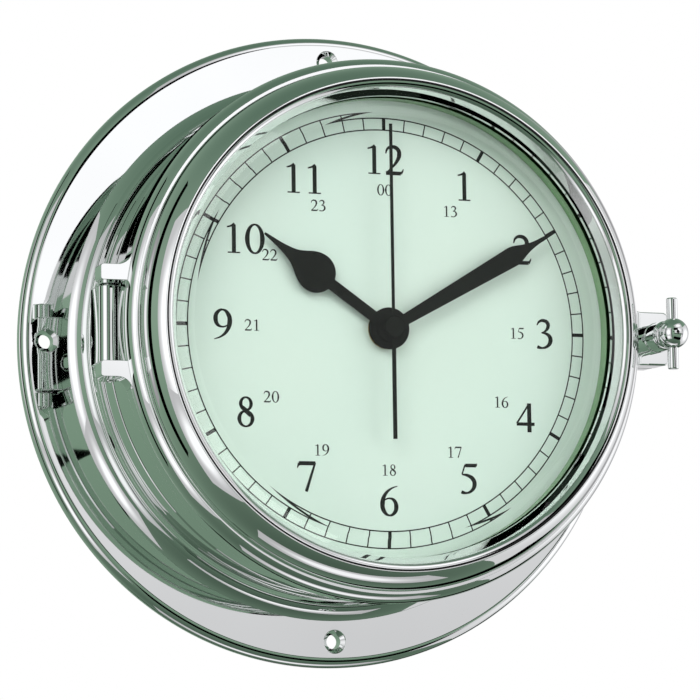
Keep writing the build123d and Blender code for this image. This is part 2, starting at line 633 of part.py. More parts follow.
def first_wheel():
    top = FIRST_WHEEL_D + WHEEL_T
    wheel = gear(FIRST_WHEEL_TEETH, FINE_MODULE, ROTOR_DIRECTION, FIRST_WHEEL_D, top, *FIRST_AT)
    phase = mesh_phase(SECOND_WHEEL_TEETH, FIRST_DIRECTION, FIRST_PINION_TEETH, FIRST_DIRECTION)
    pinion = gear(FIRST_PINION_TEETH, FINE_MODULE, phase, top, top + 2.0, *FIRST_AT)
    return wheel + pinion + plug(ARBOR_R, REAR_PIVOT - 0.5, FRONT_PIVOT + 0.5, *FIRST_AT)


def second_wheel():
    top = SECOND_WHEEL_D + WHEEL_T
    wheel = gear(SECOND_WHEEL_TEETH, FINE_MODULE, FIRST_DIRECTION, SECOND_WHEEL_D, top)
    pinion = gear(SECOND_PINION_TEETH, FINE_MODULE, THIRD_DIRECTION, top, top + 2.2)
    return wheel + pinion + plug(SECOND_ARBOR_R, REAR_PIVOT - 0.5, SECOND_D + 1.1)


def third_wheel():
    top = THIRD_WHEEL_D + WHEEL_T
    phase = mesh_phase(SECOND_PINION_TEETH, THIRD_DIRECTION, THIRD_WHEEL_TEETH, THIRD_DIRECTION)
    wheel = gear(THIRD_WHEEL_TEETH, FINE_MODULE, phase, THIRD_WHEEL_D, top, *THIRD_AT)
    phase = mesh_phase(CENTRE_WHEEL_TEETH, THIRD_DIRECTION, THIRD_PINION_TEETH, THIRD_DIRECTION)
    pinion = gear(THIRD_PINION_TEETH, THIRD_MODULE, phase, top, top + 2.3, *THIRD_AT)
    return wheel + pinion + plug(ARBOR_R, REAR_PIVOT - 0.5, FRONT_PIVOT + 0.5, *THIRD_AT)


def centre_wheel():
    wheel = gear(CENTRE_WHEEL_TEETH, THIRD_MODULE, THIRD_DIRECTION, CENTRE_WHEEL_D, CENTRE_WHEEL_D + WHEEL_T)
    return wheel - plug(MINUTE_PIPE_R + PIPE_GAP, 40, 50)


def minute_arbor():
    top = MINUTE_PINION_D + 1.5
    pinion = gear(MINUTE_PINION_TEETH, MOTION_MODULE, MOTION_DIRECTION, MINUTE_PINION_D, top)
    pipe = plug(MINUTE_PIPE_R, 44.4, MINUTE_D + 1.1)
    stop = plug(2.2, 44.0, 44.5)
    return pinion + pipe + stop - plug(SECOND_ARBOR_R + PIPE_GAP, 40, 62)


def motion_wheel():
    top = MOTION_WHEEL_D + WHEEL_T
    phase = mesh_phase(MINUTE_PINION_TEETH, MOTION_DIRECTION, MOTION_WHEEL_TEETH, MOTION_DIRECTION)
    wheel = gear(MOTION_WHEEL_TEETH, MOTION_MODULE, phase, MOTION_WHEEL_D, top, *MOTION_AT)
    pinion = gear(MOTION_PINION_TEETH, HOUR_MODULE, MOTION_DIRECTION + 180, top, top + 2.5, *MOTION_AT)
    return wheel + pinion - plug(MOTION_POST_R + RUNNING_GAP, 40, 55, *MOTION_AT)


def hour_wheel():
    phase = mesh_phase(MOTION_PINION_TEETH, MOTION_DIRECTION + 180, HOUR_WHEEL_TEETH, MOTION_DIRECTION + 180)
    wheel = gear(HOUR_WHEEL_TEETH, HOUR_MODULE, phase, HOUR_WHEEL_D, HOUR_WHEEL_D + WHEEL_T)
    pipe = plug(HOUR_PIPE_R, HOUR_WHEEL_D - 0.5, HOUR_D + 1.1)
    return wheel + pipe - plug(MINUTE_PIPE_R + PIPE_GAP, 40, 62)


def setting_knob():
    motion_phase = mesh_phase(MINUTE_PINION_TEETH, MOTION_DIRECTION, MOTION_WHEEL_TEETH, MOTION_DIRECTION)
    phase = mesh_phase(MOTION_WHEEL_TEETH, motion_phase, KNOB_TEETH, KNOB_DIRECTION)
    pinion = gear(KNOB_TEETH, MOTION_MODULE, phase, 46.2, 47.2, *KNOB_AT)
    arbor = plug(1.2, KNOB_REAR + 2, FRONT_PIVOT - 0.3, *KNOB_AT)
    arbor += plug(1.9, BLOCK_REAR - 0.1, REAR_PIVOT + 1.5, *KNOB_AT)
    grip = plug(KNOB_GRIP_R, KNOB_REAR, BLOCK_REAR - 0.4, *KNOB_AT)
    for x, z in ring_points(KNOB_GRIP_R + 0.3, 18):
        grip -= plug(0.55, KNOB_REAR - 1, BLOCK_REAR, KNOB_AT[0] + x, KNOB_AT[1] + z)
    return pinion + arbor + grip


NODES = {
    "case_flange": case_flange,
    "case_barrel": case_barrel,
    "dial_seat": dial_seat,
    "hinge_knuckle": hinge_knuckle,
    "hinge_pin": hinge_pin,
    "catch_lug": catch_lug,
    "bezel_seal": bezel_seal,
    "dial_plate": dial_plate,
    "dial_screws": dial_screws,
    "movement_front": movement_front,
    "movement_cover": movement_cover,
    "centre_bush": centre_bush,
    "rubber_washer": rubber_washer,
    "brass_washer": brass_washer,
    "fixing_nut": fixing_nut,
    "battery": battery,
    "battery_contacts": battery_contacts,
    "circuit_board": circuit_board,
    "board_parts": board_parts,
    "coil_bobbin": coil_bobbin,
    "coil_winding": coil_winding,
    "stator": stator,
    "rotor": rotor,
    "first_wheel": first_wheel,
    "second_wheel": second_wheel,
    "third_wheel": third_wheel,
    "centre_wheel": centre_wheel,
    "minute_arbor": minute_arbor,
    "motion_wheel": motion_wheel,
    "hour_wheel": hour_wheel,
    "setting_knob": setting_knob,
    "hour_hand": hour_hand,
    "minute_hand": minute_hand,
    "second_hand": second_hand,
    "second_cap": second_cap,
    "bezel": bezel,
    "glass": glass,
    "glass_gasket": glass_gasket,
    "glass_retainer": glass_retainer,
    "retainer_screws": retainer_screws,
    "captive_clip": captive_clip,
    "thumb_screw": thumb_screw,
    "tommy_bar": tommy_bar,
}

os.makedirs("parts", exist_ok=True)
for name, make in NODES.items():
    shape = make()
    if isinstance(shape, list):
        solids = [s for piece in shape for s in piece.solids()]
    else:
        solids = list(shape.solids())
    shape = solids[0] if len(solids) == 1 else Compound(children=solids)
    export_step(shape, f"parts/{name}.step")
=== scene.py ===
"""A ship's bulkhead clock in polished chrome: its visible pieces and finishes, laid over its CAD frame."""

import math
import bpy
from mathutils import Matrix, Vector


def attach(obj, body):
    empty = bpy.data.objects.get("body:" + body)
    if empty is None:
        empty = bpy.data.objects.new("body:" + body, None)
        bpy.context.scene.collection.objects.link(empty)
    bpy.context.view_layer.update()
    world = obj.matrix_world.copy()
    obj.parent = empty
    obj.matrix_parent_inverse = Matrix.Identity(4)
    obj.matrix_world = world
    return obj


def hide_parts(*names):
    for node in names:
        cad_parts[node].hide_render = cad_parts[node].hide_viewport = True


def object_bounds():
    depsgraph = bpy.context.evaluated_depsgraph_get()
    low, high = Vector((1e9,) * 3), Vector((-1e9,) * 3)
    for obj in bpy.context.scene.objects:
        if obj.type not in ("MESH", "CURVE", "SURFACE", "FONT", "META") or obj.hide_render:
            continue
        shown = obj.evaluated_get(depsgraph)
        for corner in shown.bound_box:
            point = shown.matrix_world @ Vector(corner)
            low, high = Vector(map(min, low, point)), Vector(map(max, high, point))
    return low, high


bl_info = {
    "name": "Ship's bulkhead clock",
    "version": (1, 0, 0),
    "blender": (4, 5, 0),
    "location": "View3D > Sidebar > Clock",
    "description": "Models the visible pieces, finishes and studio of a chromed ship's clock",
    "category": "Object",
}

import bpy
from mathutils import Matrix, Quaternion, Vector

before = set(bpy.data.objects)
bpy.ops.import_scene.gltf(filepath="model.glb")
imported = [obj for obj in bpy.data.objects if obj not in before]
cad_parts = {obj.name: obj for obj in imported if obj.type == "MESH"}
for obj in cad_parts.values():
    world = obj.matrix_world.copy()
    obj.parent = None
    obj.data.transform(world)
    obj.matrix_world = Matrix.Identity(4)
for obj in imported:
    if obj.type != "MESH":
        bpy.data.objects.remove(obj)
CAD_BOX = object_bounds()
bpy.ops.object.select_all(action="DESELECT")

MM = 0.001
TURN_STEPS = 256
FLAT_ANGLE = math.radians(28)

# ---- sizes in millimetres; D is the depth in front of the wall, R a radius about the dial's axis ----
FLANGE_R = 100.0
FLANGE_REAR_EDGE = 0.5     # rounding of the rim against the wall
LIP = ((100.0, 2.0), (99.063, 4.263), (96.8, 5.2))
COVE = ((85.4, 5.2), (82.0, 8.2), (80.8, 14.0))
BEAD = ((80.8, 14.0), (81.4, 14.6), (80.8, 15.2))
SCREW_CIRCLE_R = 91.85
SCREW_SINK = ((0, -1), (2.3, -1), (2.3, 3.9), (3.5, 5.1), (3.9, 5.25), (3.9, 7), (0, 7))
CASE_BORE_R = 77.5
BARREL_REAR = 15.2
BARREL_FRONT = 49.6
BARREL_STEPS = ((80.3, BARREL_REAR), (80.3, 22.0, 0.25), (80.0, 22.3), (80.0, 31.0, 0.25), (79.7, 31.3),
                (79.7, 49.1), (79.2, BARREL_FRONT))

BEZEL_R = 82.0
BEZEL_BORE_R = 76.6
BEZEL_REAR = 50.6
BEZEL_STEP_D = 59.4
SHOULDER = ((82.0, 55.8), (81.2, 59.2), (79.5, 61.0))
CREST = ((78.5, 61.8), (76.9, 67.9), (73.6, 71.6))
CREST_INSIDE = ((73.6, 71.6), (71.9, 71.3), (70.7, 70.1))
OPENING = ((69.0, 66.4), (69.0, 64.9), (71.3, 64.9), (71.3, BEZEL_STEP_D))
EAR_ROOT_R = 79.2          # how far the ears reach into the ring
EAR_REAR = 50.65

HINGE_X = -83.2
HINGE_D = 45.6
HINGE_R = 3.5
LUG_IN = 11.75             # the two lugs, measured up and down from the middle
LUG_OUT = 16.5
LUG_TIP = 88.9
LUG_FRONT = 57.4
LUG_FLARE = 4.6
LUG_ROOT_X = -77.5
LUG_BODY_FRONT = 52.0      # the part round the pin, under the ear
LUG_PIN_HOLE_R = 1.55
KNUCKLE_HALF = 11.6
KNUCKLE_REAR = 36.5
KNUCKLE_ROOT_X = -77.6
KNUCKLE_SEAT_R = 79.75
KNUCKLE_PIN_HOLE_R = 1.51

CLASP_X = 89.4
CLASP_HALF = 8.3
CLASP_TIP = 94.4
CLASP_ROOT_X = 80.9
CLASP_REAR = 44.8
CLASP_FRONT = 53.0
CLASP_FLARE = 4.5
CLASP_EAR_X = 88.0         # where the flared ear ends inside the lug
BOSS_R = 4.7
BOSS_FRONT = 56.0
SCREW_WAY_R = 2.5
CLIP_WAY_R = 3.6
CLIP_WAY_D = 50.9

GLASS_FACE = 65.7
GLASS_RIM = ((0.0, 61.6), (70.0, 61.6), (71.0, 61.6, 0.25), (71.0, 63.9), (69.7, 63.9),
             (64.2, GLASS_FACE, 0.3), (63.2, GLASS_FACE), (0.0, GLASS_FACE))
GASKET_RIM = ((69.8, 63.95), (71.2, 63.95), (71.2, 64.85), (69.8, 64.85))

DIAL_FACE = 54.0
INK_THICKNESS = 0.025
TRACK_RISE = 0.02
TRACK_LINE_HALF = 0.19
TRACK_MARK_HALF = 0.54     # half width of the marks at every fifth minute


# ---- what a user would change ----
class ClockSizes(bpy.types.PropertyGroup):
    edge: bpy.props.FloatProperty(
        name="Edge rounding", description="Radius on the turned pieces' crisp edges, in millimetres",
        default=0.18)
    numeral_height: bpy.props.FloatProperty(
        name="Hour numerals", description="Height of the hour numerals, in millimetres", default=9.0)
    numeral_ring: bpy.props.FloatProperty(
        name="Hour ring", description="Radius that the hour numerals are centred on, in millimetres",
        default=51.5)
    small_height: bpy.props.FloatProperty(
        name="Afternoon numerals", description="Height of the 13 to 24 hour numerals, in millimetres",
        default=3.4)
    small_ring: bpy.props.FloatProperty(
        name="Afternoon ring", description="Radius that the small numerals are centred on, in millimetres",
        default=42.3)
    track_inner: bpy.props.FloatProperty(
        name="Track inside", description="Inner circle of the minute track, in millimetres", default=60.6)
    track_outer: bpy.props.FloatProperty(
        name="Track outside", description="Outer circle of the minute track, in millimetres", default=64.2)


class ClockFinishes(bpy.types.PropertyGroup):
    chrome: bpy.props.FloatVectorProperty(
        name="Chrome", description="Tint of the polished plate", default=(0.88, 0.90, 0.89), subtype="COLOR")
    # The throat's dark green tint is painted reflection of the mint dial and painted shade, not a colour of
    # the chrome.
    throat: bpy.props.FloatVectorProperty(
        name="Throat", description="Tint of the polished ring between dial and glass",
        default=(0.20, 0.40, 0.16), subtype="COLOR")
    dial: bpy.props.FloatVectorProperty(
        name="Dial", description="Colour of the dial's enamel", default=(0.68, 0.815, 0.74), subtype="COLOR")
    ink: bpy.props.FloatVectorProperty(
        name="Ink", description="Colour of the hands and the print",
        default=(0.006, 0.008, 0.006), subtype="COLOR")
    brass: bpy.props.FloatVectorProperty(
        name="Brass", description="Colour of the turned brass", default=(0.72, 0.52, 0.22), subtype="COLOR")


class ClockStage(bpy.types.PropertyGroup):
    azimuth: bpy.props.FloatProperty(
        name="Azimuth", description="Where the camera stands round the clock, from straight in front",
        default=math.radians(-19.9), subtype="ANGLE")
    elevation: bpy.props.FloatProperty(
        name="Elevation", description="Height of the camera's line of sight, as an angle",
        default=math.radians(-6.84), subtype="ANGLE")
    roll: bpy.props.FloatProperty(
        name="Roll", description="Turn of the camera about its own axis",
        default=math.radians(-0.8), subtype="ANGLE")
    distance: bpy.props.FloatProperty(
        name="Distance", description="From the camera to the point it looks at", default=0.93, unit="LENGTH")
    lens: bpy.props.FloatProperty(name="Lens", description="Focal length in millimetres", default=157.6)
    target: bpy.props.FloatVectorProperty(
        name="Target", description="Point that the camera looks at", default=(-0.0062, -0.040, -0.0046),
        subtype="TRANSLATION")
    floor_drop: bpy.props.FloatProperty(
        name="Floor drop", description="How far the floor lies under the clock's lowest point", default=0.30,
        unit="LENGTH")


# ---- making and shaping ----
def mode(name):
    bpy.ops.object.mode_set(mode=name)


def only(piece):
    """Leaves one piece active and selected."""
    bpy.ops.object.select_all(action="DESELECT")
    bpy.context.view_layer.objects.active = piece
    piece.select_set(True)


def trail(name, points):
    """A new mesh whose one vertex is drawn out along points, given in metres; left in edit mode."""
    bpy.ops.object.select_all(action="DESELECT")
    bpy.ops.mesh.primitive_plane_add(size=MM, location=(0, 0, 0))
    piece = bpy.context.object
    piece.name = name
    piece.data.name = name
    mode("EDIT")
    bpy.ops.mesh.select_all(action="SELECT")
    bpy.ops.mesh.merge(type="CENTER")
    bpy.ops.transform.translate(value=Vector(points[0]))
    for before, after in zip(points, points[1:]):
        step = Vector(after) - Vector(before)
        bpy.ops.mesh.extrude_region_move(TRANSFORM_OT_translate={"value": step})
    return piece


def tidy_up():
    """Merges doubles and points the faces outwards, in edit mode."""
    bpy.ops.mesh.select_all(action="SELECT")
    bpy.ops.mesh.remove_doubles(threshold=2e-6)
    bpy.ops.mesh.normals_make_consistent(inside=False)
    bpy.ops.mesh.select_all(action="DESELECT")
    mode("OBJECT")


def apply(piece, kind, **settings):
    """Adds a modifier, sets it and applies it."""
    only(piece)
    made = piece.modifiers.new(kind.title(), kind)
    for key, value in settings.items():
        setattr(made, key, value)
    bpy.ops.object.modifier_apply(modifier=made.name)


def smooth(piece):
    only(piece)
    bpy.ops.object.shade_smooth_by_angle(angle=FLAT_ANGLE)
    apply(piece, "WEIGHTED_NORMAL", keep_sharp=True)
    piece.select_set(False)


def rounded(points, radius):
    """The outline with each clear corner turned into a small arc. A point's third number is its own radius."""
    count = len(points)
    path = []
    for i, point in enumerate(points):
        here = Vector(point[:2])
        before = Vector(points[i - 1][:2]) - here
        after = Vector(points[(i + 1) % count][:2]) - here
        wish = point[2] if len(point) > 2 else radius
        bend = math.pi - before.angle(after)
        if bend < math.radians(22) or wish == 0:
            path.append(tuple(here))
            continue
        reach = min(wish * math.tan(bend / 2), 0.45 * before.length, 0.45 * after.length)
        start = here + before.normalized() * reach
        end = here + after.normalized() * reach
        steps = 5
        for k in range(steps + 1):
            t = k / steps
            path.append(tuple(start * (1 - t) ** 2 + here * 2 * t * (1 - t) + end * t ** 2))
    return path


def arc(start, middle, end, steps=12):
    """Points on the circle through three points, ends included."""
    (ax, ay), (bx, by), (cx, cy) = start, middle, end
    d = 2 * (ax * (by - cy) + bx * (cy - ay) + cx * (ay - by))
    aa, bb, cc = ax * ax + ay * ay, bx * bx + by * by, cx * cx + cy * cy
    ux = (aa * (by - cy) + bb * (cy - ay) + cc * (ay - by)) / d
    uy = (aa * (cx - bx) + bb * (ax - cx) + cc * (bx - ax)) / d
    radius = math.hypot(ax - ux, ay - uy)
    first = math.atan2(ay - uy, ax - ux)
    turn = (math.atan2(cy - uy, cx - ux) - first + math.pi) % math.tau - math.pi
    half = (math.atan2(by - uy, bx - ux) - first + math.pi) % math.tau - math.pi
    if turn * half < 0:
        turn -= math.copysign(math.tau, turn)
    angles = [first + turn * k / steps for k in range(steps + 1)]
    return [(ux + radius * math.cos(a), uy + radius * math.sin(a)) for a in angles]


def lathe(name, outline, steps=TURN_STEPS):
    """Turns an outline of (radius, depth in front of the wall), in millimetres, about the dial's axis."""
    places = [(r * MM, -d * MM, 0) for r, d in outline]
    piece = trail(name, places + places[:1])
    bpy.ops.mesh.select_all(action="SELECT")
    bpy.ops.mesh.spin(steps=steps, angle=math.tau, center=(0, 0, 0), axis=(0, 1, 0), use_auto_merge=True)
    tidy_up()
    smooth(piece)
    return piece


def slab(name, corners, thickness, edge=0.0, segments=4):
    """A flat outline in space, in millimetres, drawn out by a vector, with its edges rounded."""
    places = [Vector(c) * MM for c in corners]
    piece = trail(name, places)
    bpy.ops.mesh.select_all(action="SELECT")
    bpy.ops.mesh.edge_face_add()
    bpy.ops.mesh.extrude_region_move(TRANSFORM_OT_translate={"value": Vector(thickness) * MM})
    tidy_up()
    if edge:
        apply(piece, "BEVEL", width=edge * MM, segments=segments, limit_method="ANGLE",
              angle_limit=math.radians(50))
    return piece


def rod(name, radius, start, end, edge=0.0, steps=96):
    """A round bar between two points, in millimetres, with rounded rims."""
    start, end = Vector(start) * MM, Vector(end) * MM
    bpy.ops.object.select_all(action="DESELECT")
    turn = (end - start).to_track_quat("Z", "Y").to_euler()
    bpy.ops.mesh.primitive_cylinder_add(
        vertices=steps, radius=radius * MM, depth=(end - start).length,
        location=(start + end) / 2, rotation=turn)
    piece = bpy.context.object
    piece.name = name
    bpy.ops.object.transform_apply(location=True, rotation=True, scale=True)
    if edge:
        apply(piece, "BEVEL", width=edge * MM, segments=4, limit_method="ANGLE", angle_limit=math.radians(50))
    return piece


def combine(piece, tool, how):
    """Adds or cuts away one piece from another, and throws the tool away."""
    apply(piece, "BOOLEAN", operation=how, object=tool, solver="EXACT")
    bpy.data.objects.remove(tool, do_unlink=True)


def join(first, others):
    only(first)
    for one in others:
        one.select_set(True)
    bpy.ops.object.join()
    return first


def settle(piece, body, slot, finish, *nodes):
    """Hands a finished piece to its body and its material, and hides the nodes that it stands for. The slot is
    not used.
    """
    piece.data.materials.clear()
    piece.data.materials.append(finish)
    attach(piece, body)
    if nodes:
        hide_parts(*nodes)
    piece.select_set(False)


# ---- finishes ----
def material(name):
    """The material of that name, and whether it is new and still has to be filled."""
    known = bpy.data.materials.get(name)
    if known:
        return known, False
    made = bpy.data.materials.new(name)
    made.use_nodes = True
    return made, True


def wire(made, source, target):
    made.node_tree.links.new(source, target)


def node(made, kind, **inputs):
    """A shader node with some of its inputs set by name."""
    new = made.node_tree.nodes.new(kind)
    for key, value in inputs.items():
        new.inputs[key.replace("_", " ")].default_value = value
    return new


def place_of(made, scale=(1, 1, 1)):
    """Object coordinates, stretched."""
    where = node(made, "ShaderNodeTexCoord")
    stretch = node(made, "ShaderNodeMapping")
    stretch.inputs["Scale"].default_value = scale
    wire(made, where.outputs["Object"], stretch.inputs["Vector"])
    return stretch.outputs["Vector"]


def ramp(made, factor, *stops):
    """A colour ramp from (position, colour) stops."""
    new = node(made, "ShaderNodeValToRGB")
    wire(made, factor, new.inputs["Fac"])
    marks = new.color_ramp.elements
    while len(marks) < len(stops):
        marks.new(0.5)
    for mark, (position, colour) in zip(marks, stops):
        mark.position = position
        mark.color = (*colour, 1)
    return new.outputs["Color"]


def bump(made, height, strength, distance):
    new = node(made, "ShaderNodeBump", Strength=strength, Distance=distance)
    wire(made, height, new.inputs["Height"])
    wire(made, new.outputs["Normal"], made.node_tree.nodes["Principled BSDF"].inputs["Normal"])


def surface(made, **inputs):
    shader = made.node_tree.nodes["Principled BSDF"]
    for key, value in inputs.items():
        shader.inputs[key.replace("_", " ")].default_value = value
    return shader


def grey(value):
    return (value, value, value)


def turned_distance(made):
    """Distance from the dial's axis, for lines that run round a turned piece."""
    split = node(made, "ShaderNodeSeparateXYZ")
    wire(made, place_of(made), split.inputs["Vector"])
    flat = node(made, "ShaderNodeCombineXYZ")
    wire(made, split.outputs["X"], flat.inputs["X"])
    wire(made, split.outputs["Z"], flat.inputs["Z"])
    length = made.node_tree.nodes.new("ShaderNodeVectorMath")
    length.operation = "LENGTH"
    wire(made, flat.outputs["Vector"], length.inputs[0])
    lined = node(made, "ShaderNodeCombineXYZ")
    wire(made, length.outputs["Value"], lined.inputs["X"])
    wire(made, split.outputs["Y"], lined.inputs["Y"])
    return lined.outputs["Vector"]


def polished(name, tint, dull, shiny, line_strength=0.004):
    """Chrome plate: faint polishing lines round the axis, wiped smears in the gloss and a cloudy tint."""
    made, new = material(name)
    if not new:
        return made
    shader = surface(made, Metallic=1.0, Specular_IOR_Level=0.6)
    smear = node(made, "ShaderNodeTexNoise", Scale=42.0, Detail=5.0, Roughness=0.6)
    wire(made, place_of(made, (1.0, 1.0, 0.5)), smear.inputs["Vector"])
    gloss = ramp(made, smear.outputs["Fac"],
                 (0.30, grey(shiny)), (0.55, grey((shiny + dull) / 2)), (0.80, grey(dull)))
    wire(made, gloss, shader.inputs["Roughness"])
    cloud = node(made, "ShaderNodeTexNoise", Scale=14.0, Detail=3.0)
    wire(made, place_of(made), cloud.inputs["Vector"])
    darker = tuple(c * 0.965 for c in tint)
    wire(made, ramp(made, cloud.outputs["Fac"], (0.35, darker), (0.65, tuple(tint))),
         shader.inputs["Base Color"])
    lines = node(made, "ShaderNodeTexNoise", Scale=2600.0, Detail=2.0)
    wire(made, turned_distance(made), lines.inputs["Vector"])
    bump(made, lines.outputs["Fac"], line_strength, 0.00002)
    return made


def speckled(name, colour, roughness, metallic=0.0, grain=900.0, depth=0.00003, strength=0.25, spread=0.12,
             shine=0.5):
    """Plain stock with a fine grain: moulded plastic, rubber, paint or tumbled steel."""
    made, new = material(name)
    if not new:
        return made
    shader = surface(made, Metallic=metallic, Specular_IOR_Level=shine)
    tone = node(made, "ShaderNodeTexNoise", Scale=35.0, Detail=4.0)
    wire(made, place_of(made), tone.inputs["Vector"])
    low = tuple(c * (1 - spread) for c in colour)
    high = tuple(min(1.0, c * (1 + spread)) for c in colour)
    wire(made, ramp(made, tone.outputs["Fac"], (0.3, low), (0.7, high)), shader.inputs["Base Color"])
    fine = node(made, "ShaderNodeTexNoise", Scale=grain, Detail=3.0)
    wire(made, place_of(made), fine.inputs["Vector"])
    gloss = ramp(made, fine.outputs["Fac"],
                 (0.3, grey(roughness * 0.85)), (0.7, grey(min(1.0, roughness * 1.15))))
    wire(made, gloss, shader.inputs["Roughness"])
    bump(made, fine.outputs["Fac"], strength, depth)
    return made


def brushed(name, colour, roughness, along=(1, 60, 60)):
    """Metal with drawn lines in one direction."""
    made, new = material(name)
    if not new:
        return made
    shader = surface(made, Metallic=1.0)
    lines = node(made, "ShaderNodeTexNoise", Scale=60.0, Detail=5.0)
    wire(made, place_of(made, along), lines.inputs["Vector"])
    low = tuple(c * 0.82 for c in colour)
    wire(made, ramp(made, lines.outputs["Fac"], (0.3, low), (0.7, tuple(colour))),
         shader.inputs["Base Color"])
    wire(made, ramp(made, lines.outputs["Fac"], (0.3, grey(roughness * 0.7)), (0.75, grey(roughness * 1.3))),
         shader.inputs["Roughness"])
    bump(made, lines.outputs["Fac"], 0.12, 0.00003)
    return made


def enamel():
    """The dial's satin enamel: a hair of tooth, and a tint that drifts very slightly."""
    made, new = material("dial_enamel_mint")
    if not new:
        return made
    colour = tuple(bpy.context.scene.clock_finishes.dial)
    shader = surface(made, Specular_IOR_Level=0.35)
    drift = node(made, "ShaderNodeTexNoise", Scale=9.0, Detail=2.0)
    wire(made, place_of(made), drift.inputs["Vector"])
    warm = (colour[0] * 1.01, colour[1] * 1.0, colour[2] * 0.985)
    cool = (colour[0] * 0.985, colour[1] * 0.995, colour[2] * 1.0)
    wire(made, ramp(made, drift.outputs["Fac"], (0.3, cool), (0.7, warm)), shader.inputs["Base Color"])
    tooth = node(made, "ShaderNodeTexNoise", Scale=1500.0, Detail=2.0)
    wire(made, place_of(made), tooth.inputs["Vector"])
    wire(made, ramp(made, tooth.outputs["Fac"], (0.3, grey(0.42)), (0.7, grey(0.52))),
         shader.inputs["Roughness"])
    bump(made, tooth.outputs["Fac"], 0.08, 0.00001)
    return made


def clear_glass():
    made, new = material("window_glass")
    if not new:
        return made
    shader = surface(made, Transmission_Weight=1.0, IOR=1.5, Roughness=0.0, Specular_IOR_Level=0.1)
    haze = node(made, "ShaderNodeTexNoise", Scale=25.0, Detail=4.0)
    wire(made, place_of(made), haze.inputs["Vector"])
    wire(made, ramp(made, haze.outputs["Fac"], (0.3, (0.965, 0.99, 0.975)), (0.7, (0.985, 1.0, 0.99))),
         shader.inputs["Base Color"])
    wire(made, ramp(made, haze.outputs["Fac"], (0.5, grey(0.0)), (0.9, grey(0.012))),
         shader.inputs["Roughness"])
    return made


def wound_copper():
    """Enamelled wire laid in turns up the coil, with painted shade in the grooves between the turns and
    painted highlight on their crests.
    """
    made, new = material("coil_copper")
    if not new:
        return made
    shader = surface(made, Metallic=0.85, Coat_Weight=0.6, Coat_Roughness=0.15)
    turns = made.node_tree.nodes.new("ShaderNodeTexWave")
    turns.bands_direction = "Z"
    turns.inputs["Scale"].default_value = 1200.0
    turns.inputs["Distortion"].default_value = 0.4
    wire(made, place_of(made), turns.inputs["Vector"])
    # dark in the grooves between the turns and bright on their crests: painted shade and painted highlight
    wire(made, ramp(made, turns.outputs["Fac"], (0.1, (0.30, 0.10, 0.04)), (0.7, (0.78, 0.34, 0.15))),
         shader.inputs["Base Color"])
    wire(made, ramp(made, turns.outputs["Fac"], (0.0, grey(0.5)), (1.0, grey(0.25))),
         shader.inputs["Roughness"])
    bump(made, turns.outputs["Fac"], 0.6, 0.0001)
    return made


def printed_board():
    """Green solder mask over pale copper tracks."""
    made, new = material("board_mask")
    if not new:
        return made
    shader = surface(made, Coat_Weight=0.4, Coat_Roughness=0.2)
    tracks = node(made, "ShaderNodeTexBrick", Scale=420.0, Mortar_Size=0.03, Mortar_Smooth=0.3, Bias=0.0)
    tracks.inputs["Color1"].default_value = (0.02, 0.16, 0.06, 1)
    tracks.inputs["Color2"].default_value = (0.025, 0.20, 0.075, 1)
    tracks.inputs["Mortar"].default_value = (0.10, 0.34, 0.13, 1)
    turn = node(made, "ShaderNodeMapping")
    turn.inputs["Rotation"].default_value = (math.radians(90), 0, 0)
    wire(made, place_of(made), turn.inputs["Vector"])
    wire(made, turn.outputs["Vector"], tracks.inputs["Vector"])
    wire(made, tracks.outputs["Color"], shader.inputs["Base Color"])
    fine = node(made, "ShaderNodeTexNoise", Scale=500.0, Detail=3.0)
    wire(made, place_of(made), fine.inputs["Vector"])
    wire(made, ramp(made, fine.outputs["Fac"], (0.3, grey(0.32)), (0.7, grey(0.45))),
         shader.inputs["Roughness"])
    bump(made, tracks.outputs["Fac"], 0.4, 0.00004)
    return made


def battery_sleeve():
    """Printed sleeve: a charcoal body with a gold end band."""
    made, new = material("battery_print")
    if not new:
        return made
    shader = surface(made, Metallic=0.4, Coat_Weight=0.8, Coat_Roughness=0.08)
    split = node(made, "ShaderNodeSeparateXYZ")
    wire(made, place_of(made), split.inputs["Vector"])
    along = node(made, "ShaderNodeMapRange", From_Min=-0.025, From_Max=0.025)
    wire(made, split.outputs["X"], along.inputs["Value"])
    bands = node(made, "ShaderNodeValToRGB")
    bands.color_ramp.interpolation = "CONSTANT"
    wire(made, along.outputs["Result"], bands.inputs["Fac"])
    marks = bands.color_ramp.elements
    for position in (0.5, 0.5):
        marks.new(position)
    band_colours = [(0.0, (0.62, 0.62, 0.60)), (0.03, (0.03, 0.035, 0.04)), (0.70, (0.70, 0.47, 0.16)),
                    (0.955, (0.62, 0.62, 0.60))]
    for mark, (position, colour) in zip(marks, band_colours):
        mark.position = position
        mark.color = (*colour, 1)
    wire(made, bands.outputs["Color"], shader.inputs["Base Color"])
    scuffs = node(made, "ShaderNodeTexNoise", Scale=220.0, Detail=6.0)
    wire(made, place_of(made), scuffs.inputs["Vector"])
    wire(made, ramp(made, scuffs.outputs["Fac"], (0.4, grey(0.18)), (0.75, grey(0.38))),
         shader.inputs["Roughness"])
    return made


